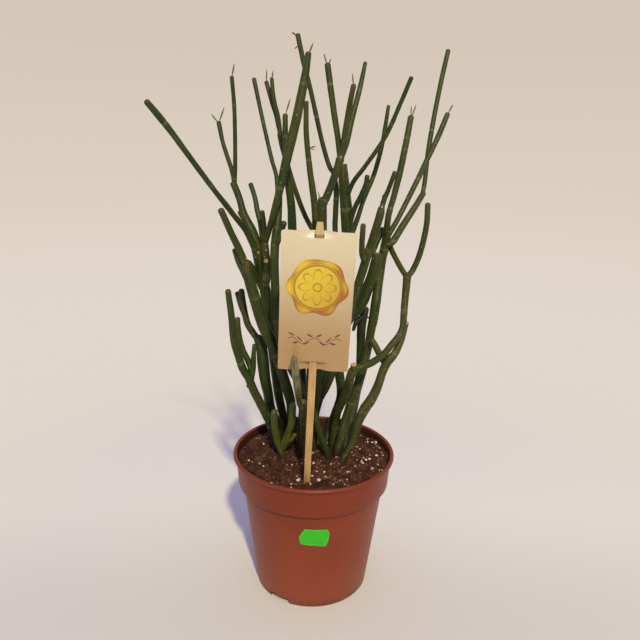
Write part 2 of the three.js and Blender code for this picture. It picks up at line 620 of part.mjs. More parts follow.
// How far the card stands before the stick's middle: in front of the stick between the two
// slots, and pushed behind it in the narrow strips above and below them.
function cardForward(x, z) {
  const beside = 1 - THREE.MathUtils.smoothstep(Math.abs(x), 4, 12);
  const below = THREE.MathUtils.clamp((z - slot.lowerTop + slot.height) / slot.height, 0, 1);
  const above = THREE.MathUtils.clamp((slot.upperBottom + slot.height - z) / slot.height, 0, 1);
  const side = 2 * Math.min(below, above) - 1;
  return cardShift * (1 - beside * (1 - side));
}

function cardOutline() {
  const half = card.width / 2;
  const { corner, height } = card;
  const shape = new THREE.Shape();
  shape.moveTo(-half + corner, 0);
  shape.lineTo(half - corner, 0);
  shape.quadraticCurveTo(half, 0, half, corner);
  shape.lineTo(half, height - corner);
  shape.quadraticCurveTo(half, height, half - corner, height);
  shape.lineTo(-half + corner, height);
  shape.quadraticCurveTo(-half, height, -half, height - corner);
  shape.lineTo(-half, corner);
  shape.quadraticCurveTo(-half, 0, -half + corner, 0);
  const block = new THREE.ExtrudeGeometry(shape, { depth: 8, bevelEnabled: false, curveSegments: 3 });
  return solidOf(upright(block.translate(0, 0, -4)));
}

function slotCutter(bottom) {
  const box = new THREE.BoxGeometry(2 * slot.halfWidth, 10, slot.height);
  return solidOf(box.translate(0, 0, bottom + slot.height / 2));
}

function makeCard() {
  const columns = [-25, -16, -12, -9, -6, -3.1, 3.1, 6, 9, 12, 16, 25];
  const rows = [-1, 2, 4.1, 6.8, 9, 92, 94.1, 96.8, 99.5];
  const columnSpans = columns.length - 1;
  const rowSpans = rows.length - 1;
  const sheet = new THREE.BoxGeometry(1, 1, 1, columnSpans, 1, rowSpans);
  reshape(sheet, (vertex) => {
    const x = columns[Math.round((vertex.x + 0.5) * columnSpans)];
    const z = rows[Math.round((vertex.z + 0.5) * rowSpans)];
    const y = vertex.y * card.thickness - cardForward(x, z);
    return vertex.set(x, y, z);
  });
  const slots = slotCutter(slot.lowerTop - slot.height).add(slotCutter(slot.upperBottom));
  const cut = solidOf(sheet).intersect(cardOutline()).subtract(slots);
  return solidOf(lean(geometryOf(cut).translate(0, 0, card.bottom)));
}

// A thin label lying on the pot's tapered wall, cut to its pointed ends.
function makeSticker() {
  const sheet = new THREE.BoxGeometry(1, 1, 1, 9, 1, 2);
  const { start, end, bottom, top, standOff, thickness } = sticker;
  reshape(sheet, (vertex) => {
    const angle = THREE.MathUtils.degToRad(THREE.MathUtils.lerp(start, end, vertex.x + 0.5));
    const z = THREE.MathUtils.lerp(bottom, top, vertex.z + 0.5);
    const r = wallRadius(z) + standOff + thickness * (0.5 - vertex.y);
    return vertex.set(r * Math.sin(angle), -r * Math.cos(angle), z);
  });
  const outline = [[-8, 63.1], [10.7, 61.4], [13.1, 71.9], [11.4, 76.9], [-5.5, 77.2], [-9.7, 69.1]];
  const shape = new THREE.Shape(outline.map(([x, z]) => new THREE.Vector2(x, z)));
  const cutter = upright(new THREE.ExtrudeGeometry(shape, { depth: 30, bevelEnabled: false }));
  return solidOf(sheet).intersect(solidOf(cutter.translate(0, -40, 0)));
}

const finishes = {
  pot: { color: '#8c4129', roughness: 0.45, metalness: 0 },
  soil: { color: '#33261c', roughness: 0.95, metalness: 0 },
  wood: { color: '#c9a06a', roughness: 0.7, metalness: 0 },
  card: { color: '#e3cfae', roughness: 0.3, metalness: 0 },
  sticker: { color: '#41c823', roughness: 0.5, metalness: 0 },
  stem: { color: '#445c30', roughness: 0.6, metalness: 0 },
  oliveStem: { color: '#5d6b38', roughness: 0.6, metalness: 0 },
};

function addPiece(group, name, solid, finish) {
  const mesh = new THREE.Mesh(geometryOf(solid), new THREE.MeshStandardMaterial(finishes[finish]));
  mesh.name = name;
  group.add(mesh);
}

const stems = [
  ['stem_twin_left', twinLeft, 'stem'],
  ['stem_fork_left', forkLeft, 'stem'],
  ['stem_olive', oliveTrunk, 'oliveStem'],
  ['stem_whorl', whorl, 'stem', leaves.whorl],
  ['stem_by_card', byCard, 'stem'],
  ['stem_slim', slimStem, 'stem', leaves.slimStem],
  ['stem_crossing', crossing, 'stem', leaves.crossing],
  ['stem_brown_tip', brownStem, 'oliveStem'],
  ['stem_y', yTrunk, 'stem', leaves.yTrunk],
  ['stem_thick_cut', thickCut, 'stem', leaves.thickCut],
  ['stem_straight', straightStem, 'stem'],
  ['stem_right_main', rightMain, 'stem', leaves.rightMain],
  ['stem_behind', behindStem, 'stem'],
  ['stem_elbow', elbowStem, 'oliveStem'],
  ['stem_black_knee', blackKnee, 'stem'],
  ['stem_right_fork', rightFork, 'oliveStem'],
  ['stem_front_sprout', frontSprout, 'oliveStem', leaves.frontSprout],
  ['stem_front_knot', frontKnot, 'stem'],
];

const group = new THREE.Group();
addPiece(group, 'pot', makePot(), 'pot');
addPiece(group, 'soil', makeSoil(stems.map(([, lines]) => lines)), 'soil');
addPiece(group, 'tag_stick', makeStick(), 'wood');
addPiece(group, 'care_card', makeCard(), 'card');
addPiece(group, 'price_sticker', makeSticker(), 'sticker');
stems.forEach(([name, lines, finish, blades]) => addPiece(group, name, makeStem(lines, blades), finish));

export default group;
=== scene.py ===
# A potted euphorbia: branching round stems in a brown nursery pot, a care card on a stick.
import math
import random
from functools import partial

import bmesh
import bpy
from mathutils import Matrix, Vector, noise


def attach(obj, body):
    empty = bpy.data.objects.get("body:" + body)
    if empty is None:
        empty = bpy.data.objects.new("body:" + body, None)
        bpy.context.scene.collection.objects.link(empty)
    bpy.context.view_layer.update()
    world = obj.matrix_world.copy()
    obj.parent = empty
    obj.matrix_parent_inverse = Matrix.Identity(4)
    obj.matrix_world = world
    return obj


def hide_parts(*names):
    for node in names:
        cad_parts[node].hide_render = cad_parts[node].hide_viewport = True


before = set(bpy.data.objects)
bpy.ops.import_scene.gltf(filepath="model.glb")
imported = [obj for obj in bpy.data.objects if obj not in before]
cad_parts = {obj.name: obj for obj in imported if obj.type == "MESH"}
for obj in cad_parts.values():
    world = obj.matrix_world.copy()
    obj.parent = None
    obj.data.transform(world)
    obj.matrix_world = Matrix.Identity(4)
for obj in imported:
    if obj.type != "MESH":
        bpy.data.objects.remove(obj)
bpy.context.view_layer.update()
print("frame loaded:", len(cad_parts), "nodes")

mm = 0.001


# short ways to build node trees
def srgb(code):  # "#rrggbb" to the linear colour that sockets take
    parts = [int(code[i:i + 2], 16) / 255 for i in (1, 3, 5)]
    linear = [c / 12.92 if c <= 0.04045 else ((c + 0.055) / 1.055) ** 2.4 for c in parts]
    return (*linear, 1.0)


def feed(tree, socket, value):  # links another node's output, or sets a plain value
    if isinstance(value, bpy.types.NodeSocket):
        tree.links.new(value, socket)
    else:
        socket.default_value = value


def addNode(tree, kind, inputs=None, **settings):
    made = tree.nodes.new(kind)
    for name, value in settings.items():
        setattr(made, name, value)
    for name, value in (inputs or {}).items():
        feed(tree, made.inputs[name], value)
    return made


def mathNode(tree, operation, *values):
    return addNode(tree, "ShaderNodeMath", dict(enumerate(values)), operation=operation).outputs[0]


def times(tree, first, second):
    return mathNode(tree, "MULTIPLY", first, second)


def offBy(tree, value, middle):  # how far a value is from a middle, either way
    return mathNode(tree, "ABSOLUTE", mathNode(tree, "SUBTRACT", value, middle))


def rampNode(tree, factor, low, high, toLow=0.0, toHigh=1.0):  # a soft step from one value to another
    inputs = dict(enumerate((factor, low, high, toLow, toHigh)))
    return addNode(tree, "ShaderNodeMapRange", inputs, interpolation_type="SMOOTHSTEP").outputs[0]


def mixColour(tree, factor, first, second):  # colours are sockets or "#rrggbb"
    inputs = {0: factor}
    for slotIndex, colour in ((6, first), (7, second)):
        inputs[slotIndex] = srgb(colour) if isinstance(colour, str) else colour
    return addNode(tree, "ShaderNodeMix", inputs, data_type="RGBA").outputs[2]


def noiseNode(tree, vector, scale, detail, roughness=0.5):
    inputs = {"Vector": vector, "Scale": scale, "Detail": detail, "Roughness": roughness}
    return addNode(tree, "ShaderNodeTexNoise", inputs).outputs["Fac"]


def vectorNode(tree, operation, first, second):
    return addNode(tree, "ShaderNodeVectorMath", {0: first, 1: second}, operation=operation).outputs[0]


def scaledNode(tree, vector, scale):
    inputs = {0: vector, "Scale": scale}
    return addNode(tree, "ShaderNodeVectorMath", inputs, operation="SCALE").outputs[0]


def stretchedNode(tree, vector, upright):  # squeezes a pattern's upright axis, which draws it out
    inputs = {"Vector": vector, "Scale": (1.0, 1.0, upright)}
    return addNode(tree, "ShaderNodeMapping", inputs).outputs["Vector"]


def splitPlace(tree, place):
    return addNode(tree, "ShaderNodeSeparateXYZ", {"Vector": place}).outputs


def axisDistance(tree, axes):  # distance from the pot's axis
    flat = addNode(tree, "ShaderNodeCombineXYZ", {"X": axes["X"], "Y": axes["Y"]}).outputs[0]
    return addNode(tree, "ShaderNodeVectorMath", {0: flat}, operation="LENGTH").outputs["Value"]


def objectPlace(tree):
    return addNode(tree, "ShaderNodeTexCoord").outputs["Object"]


def routeValue(tree, name):  # a value that the mesh carries as an attribute
    return addNode(tree, "ShaderNodeAttribute", attribute_name=name).outputs["Fac"]


def newTree(kind, name, inputs, outputs):  # a group with named sockets; kind is Shader or Geometry
    tree = bpy.data.node_groups.new(name, kind + "NodeTree")
    for socketName, (socketKind, value) in inputs.items():
        made = tree.interface.new_socket(name=socketName, in_out="INPUT", socket_type="NodeSocket" + socketKind)
        if value is not None:
            made.default_value = value
    for socketName, socketKind in outputs.items():
        tree.interface.new_socket(name=socketName, in_out="OUTPUT", socket_type="NodeSocket" + socketKind)
    return tree, tree.nodes.new("NodeGroupInput").outputs, tree.nodes.new("NodeGroupOutput").inputs


def putOut(tree, result, **sockets):
    for name, socket in sockets.items():
        tree.links.new(socket, result[name])


def newMaterial(name, **values):  # a Principled material, its constants set on the sockets
    material = bpy.data.materials.new(name)
    material.use_nodes = True
    tree = material.node_tree
    shader = tree.nodes["Principled BSDF"]
    for socketName, value in values.items():
        shader.inputs[socketName.replace("_", " ")].default_value = value
    return material, tree, shader.inputs


def finishSkin(tree, surface, colour, height, strength, depth, roughness=None):
    feed(tree, surface["Base Color"], colour)
    if roughness is not None:
        feed(tree, surface["Roughness"], roughness)
    bump = addNode(tree, "ShaderNodeBump", {"Strength": strength, "Distance": depth, "Height": height})
    feed(tree, surface["Normal"], bump.outputs["Normal"])


# short ways to make pieces
def meshFrom(shape, name):
    mesh = bpy.data.meshes.new(name)
    shape.to_mesh(mesh)
    shape.free()
    return mesh


def addPiece(name, mesh, material=None):
    piece = bpy.data.objects.new(name, mesh)
    bpy.context.scene.collection.objects.link(piece)
    if material:
        mesh.materials.append(material)
    return piece


def bindPiece(piece, slotName, *nodes):  # hangs a finished piece on the root body and hides the frame nodes it replaces
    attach(piece, "root")
    if nodes:
        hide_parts(*nodes)


def applyModifiers(piece):  # the finished shape as a plain mesh
    view = bpy.context.evaluated_depsgraph_get()
    mesh = bpy.data.meshes.new_from_object(piece.evaluated_get(view))
    piece.modifiers.clear()
    piece.data = mesh
    return piece


def thicken(piece, thickness, **settings):
    thick = piece.modifiers.new("thick", "SOLIDIFY")
    thick.thickness = thickness * mm
    thick.offset = 0.0
    for name, value in settings.items():
        setattr(thick, name, value)
    applyModifiers(piece)


def smoothPiece(piece, sharpFrom=None):  # smooth shading, with edges sharp from that angle on
    piece.data.shade_smooth()
    if sharpFrom:
        piece.data.set_sharp_from_angle(angle=math.radians(sharpFrom))


def joinLoops(shape, loops):  # faces between neighbouring rings; a ring of one point is a pole
    faces = []
    for low, high in zip(loops, loops[1:]):
        count = max(len(low), len(high))
        for i in range(count):
            k = (i + 1) % count
            if len(low) == 1:
                corners = (low[0], high[k], high[i])
            elif len(high) == 1:
                corners = (low[i], low[k], high[0])
            else:
                corners = (low[i], low[k], high[k], high[i])
            faces.append(shape.faces.new(corners))
    return faces


def roundLoop(shape, radius, z, sectors):
    spots = []
    for i in range(sectors):
        angle = math.tau * i / sectors
        spots.append(shape.verts.new((radius * math.cos(angle), radius * math.sin(angle), z)))
    return spots


def turnedMesh(name, profile, sectors):  # closed body turned round Z; profile is (radius, z) in mm
    shape = bmesh.new()
    loops = []
    for radius, z in profile:
        isPole = radius < 1e-6
        loops.append([shape.verts.new((0, 0, z * mm))] if isPole else roundLoop(shape, radius * mm, z * mm, sectors))
    joinLoops(shape, loops)
    bmesh.ops.recalc_face_normals(shape, faces=shape.faces)
    mesh = meshFrom(shape, name)
    mesh.shade_smooth()
    return mesh


# camera, light and floor
view = {
    "eye": (0.0, -0.47385, 0.36075),
    "pitch": 16.06,
    "yaw": 0.34,
    "roll": 1.26,
    "lens": 36.12,
    "sensor": 36.0,
    "nearest": 0.02,
    "floorFront": (0.71, 0.68, 0.585, 1.0),
    "floorBack": (0.87, 0.835, 0.70, 1.0),
    "floorTurn": (-0.08, 0.12),  # where the floor changes from front to back colour
    "cloud": (0.5, 0.48, 0.42, 1.0),
    "black": (0.0, 0.0, 0.0, 1.0),
    "cloudSize": 2.5,
    "cloudShare": 0.08,
    "glowFrom": (0.18, 0.55),  # distances from the pot between which the floor turns evenly pale
    "glowTurn": (0.7, 3.0),
    "glowNear": "#e0d5c9",
    "glowLow": "#dacfc0",
    "glowHigh": "#d5c7b7",
    "roomRadius": 3.6,
    "roomBend": 0.6,
    "roomHeight": 2.4,
    "roomSectors": 96,
    "floorHole": 0.02,
    "keyPlace": (0.4, -2.3, 2.3),
    "keyTarget": (0, 0, 0.12),
    "keySize": 0.16,
    "keyPower": 82,
    "keyColour": (1.0, 0.9375, 0.61),
    "skyColour": (0.593, 0.561, 1.0, 1.0),
    "skyTurn": (-0.1, 0.9),  # heights between which the sky goes from low to high
    "skyLow": 0.3,
    "skyHigh": 0.72,
}


def makeCamera():
    pitch, yaw, roll = (math.radians(view[key]) for key in ("pitch", "yaw", "roll"))
    forward = Vector((math.sin(yaw) * math.cos(pitch), math.cos(yaw) * math.cos(pitch), -math.sin(pitch)))
    level = Vector((math.cos(yaw), -math.sin(yaw), 0))
    above = level.cross(forward)
    right = level * math.cos(roll) + above * math.sin(roll)
    up = above * math.cos(roll) - level * math.sin(roll)
    camera = bpy.data.objects.new("camera", bpy.data.cameras.new("camera"))
    camera.data.lens = view["lens"]
    camera.data.sensor_width = view["sensor"]
    camera.data.clip_start = view["nearest"]
    turn = Matrix((right, up, -forward)).transposed().to_4x4()
    camera.matrix_world = Matrix.Translation(view["eye"]) @ turn
    bpy.context.scene.collection.objects.link(camera)
    bpy.context.scene.camera = camera


def makeKeyLight():
    lamp = bpy.data.lights.new("keyLight", "AREA")
    lamp.shape = "DISK"
    lamp.size = view["keySize"]
    lamp.energy = view["keyPower"]
    lamp.color = view["keyColour"]
    light = bpy.data.objects.new("keyLight", lamp)
    light.location = view["keyPlace"]
    aim = Vector(view["keyTarget"]) - Vector(view["keyPlace"])
    light.rotation_euler = aim.to_track_quat("-Z", "Y").to_euler()
    bpy.context.scene.collection.objects.link(light)


def makeWorld():  # soft light from above, dimmer towards the horizon
    world = bpy.data.worlds.new("softRoom")
    world.use_nodes = True
    tree = world.node_tree
    height = splitPlace(tree, addNode(tree, "ShaderNodeTexCoord").outputs["Generated"])["Z"]
    sky = tree.nodes["Background"].inputs
    sky["Color"].default_value = view["skyColour"]
    feed(tree, sky["Strength"], rampNode(tree, height, *view["skyTurn"], view["skyLow"], view["skyHigh"]))
    bpy.context.scene.world = world


def backdropMaterial():  # lit floor round the pot, fading to an even pale glow further out
    material, tree, surface = newMaterial("paleBackdrop", Roughness=0.9, Specular_IOR_Level=0.1)
    place = objectPlace(tree)
    axes = splitPlace(tree, place)
    deep = rampNode(tree, axes["Y"], *view["floorTurn"])
    colour = mixColour(tree, deep, view["floorFront"], view["floorBack"])
    clouds = times(tree, noiseNode(tree, place, view["cloudSize"], 2.0), view["cloudShare"])
    colour = mixColour(tree, clouds, colour, view["cloud"])
    away = axisDistance(tree, axes)
    far = rampNode(tree, away, *view["glowFrom"])
    glow = mixColour(tree, rampNode(tree, away, *view["glowTurn"]), view["glowNear"], view["glowLow"])
    glow = mixColour(tree, rampNode(tree, axes["Z"], 0.0, 1.0), glow, view["glowHigh"])
    feed(tree, surface["Base Color"], mixColour(tree, far, colour, view["black"]))
    feed(tree, surface["Emission Color"], glow)
    feed(tree, surface["Emission Strength"], far)
    return material


def makeBackdrop():  # round floor with a wall far around it
    material = backdropMaterial()
    radius, bend, sectors = view["roomRadius"], view["roomBend"], view["roomSectors"]
    floorLine = [(view["floorHole"], 0.0)] + [((radius - bend) * i / 8, 0.0) for i in range(1, 9)]
    turns = [math.pi / 2 * i / 12 for i in range(13)]
    wallLine = [(radius - bend + bend * math.sin(turn), bend - bend * math.cos(turn)) for turn in turns]
    wallLine.append((radius, view["roomHeight"]))
    for name, line in (("floor", floorLine), ("wall", wallLine)):
        shape = bmesh.new()
        loops = [roundLoop(shape, away, z, sectors) for away, z in line]
        joinLoops(shape, loops)
        bmesh.ops.reverse_faces(shape, faces=shape.faces)
        if name == "floor":
            shape.faces.new(loops[0])
        mesh = meshFrom(shape, name)
        mesh.shade_smooth()
        piece = addPiece(name, mesh, material)
        piece.visible_diffuse = name == "floor"  # the wall is only seen, it doesn't change the soft light
        piece.visible_shadow = name == "floor"


makeCamera()
makeWorld()
makeBackdrop()
bpy.context.scene.view_settings.view_transform = "Standard"
makeKeyLight()
print("camera, light and backdrop set")


# shared shader groups
def makeMottleGroup():  # cloudy patches with a finer grain over them
    tree, given, result = newTree("Shader", "mottle", {
        "Vector": ("Vector", None), "Patch Scale": ("Float", 40.0), "Grain Scale": ("Float", 600.0),
        "Grain Share": ("Float", 0.3),
    }, {"Patches": "Float", "Grain": "Float", "Mix": "Float"})
    patches = rampNode(tree, noiseNode(tree, given["Vector"], given["Patch Scale"], 3.0), 0.36, 0.66)
    grain = noiseNode(tree, given["Vector"], given["Grain Scale"], 2.0)
    mixed = addNode(tree, "ShaderNodeMix", {0: given["Grain Share"], 2: patches, 3: grain}, data_type="FLOAT")
    putOut(tree, result, Patches=patches, Grain=grain, Mix=mixed.outputs[0])
    return tree


mottleGroup = makeMottleGroup()


def mottled(tree, patchScale, grainScale, grainShare):  # the mottle at one material's own sizes
    return addNode(tree, "ShaderNodeGroup", {
        "Vector": objectPlace(tree), "Patch Scale": patchScale, "Grain Scale": grainScale,
        "Grain Share": grainShare}, node_tree=mottleGroup).outputs


# stems
stemLook = {
    "step": 1.6,  # distance between the tube's rings, mm
    "sides": 14,
    "slimSides": 10,
    "slimBelow": 2.6,  # branches thinner than this radius have fewer sides
    "scarEvery": (46, 78),  # distance between leaf scars, mm
    "scarFree": 12,  # length below the tip without scars, mm
    "ringSwell": 0.05,
    "ringDip": 0.07,
    "leafWidth": 0.5,
    "tipReach": 0.45,  # how far a tip goes past its last point, in radii
    "shortReach": -0.3,
    "lumpSize": 150.0,
    "lumpDepth": 0.00035,
    "plantHeight": 430,  # mm, for how high up a ring lies
    "tipLength": 0.75,  # length of a rounded end, in radii
    "ringReach": 0.9,  # how far a leaf scar and its swelling reach, mm
    "swellReach": 3.2,
    "lineShift": 37.0,  # moves the skin's pattern on from line to line, mm
    "leafThickness": 0.00028,
    "skinWidth": 0.0028,  # how wide the skin's pattern lies round a stem, m
    "blotchSize": 42.0,
    "fineSize": 900.0,
    "streakSize": 1100.0,
    "streakDraw": 0.07,
    "dotSize": 330.0,
    "dotEdge": (0.13, 0.2),
    "dotChosen": (0.55, 0.62),
    "dotShow": 0.55,
    "toneSwing": 1.6,
    "ageTone": 0.12,
    "baseShadeTurn": (0.255, 0.292),  # share of the height where the painted shade at the stem bases fades out
    "ringShow": 0.38,
    "green": "#2b3b0e",
    "olive": "#4a4b19",
    "dark": "#151e07",
    "pale": "#8f8b62",
    "brown": "#54482a",
    # painted shade at the stem bases, in a soil brown
    "baseShade": "#2a1a10",
    "withered": "#26241d",
    "cutPale": "#d2b07c",
    "cutDeep": "#a57c4c",
    "leafFresh": "#70743c",
    "leafDry": "#4e3c26",
}
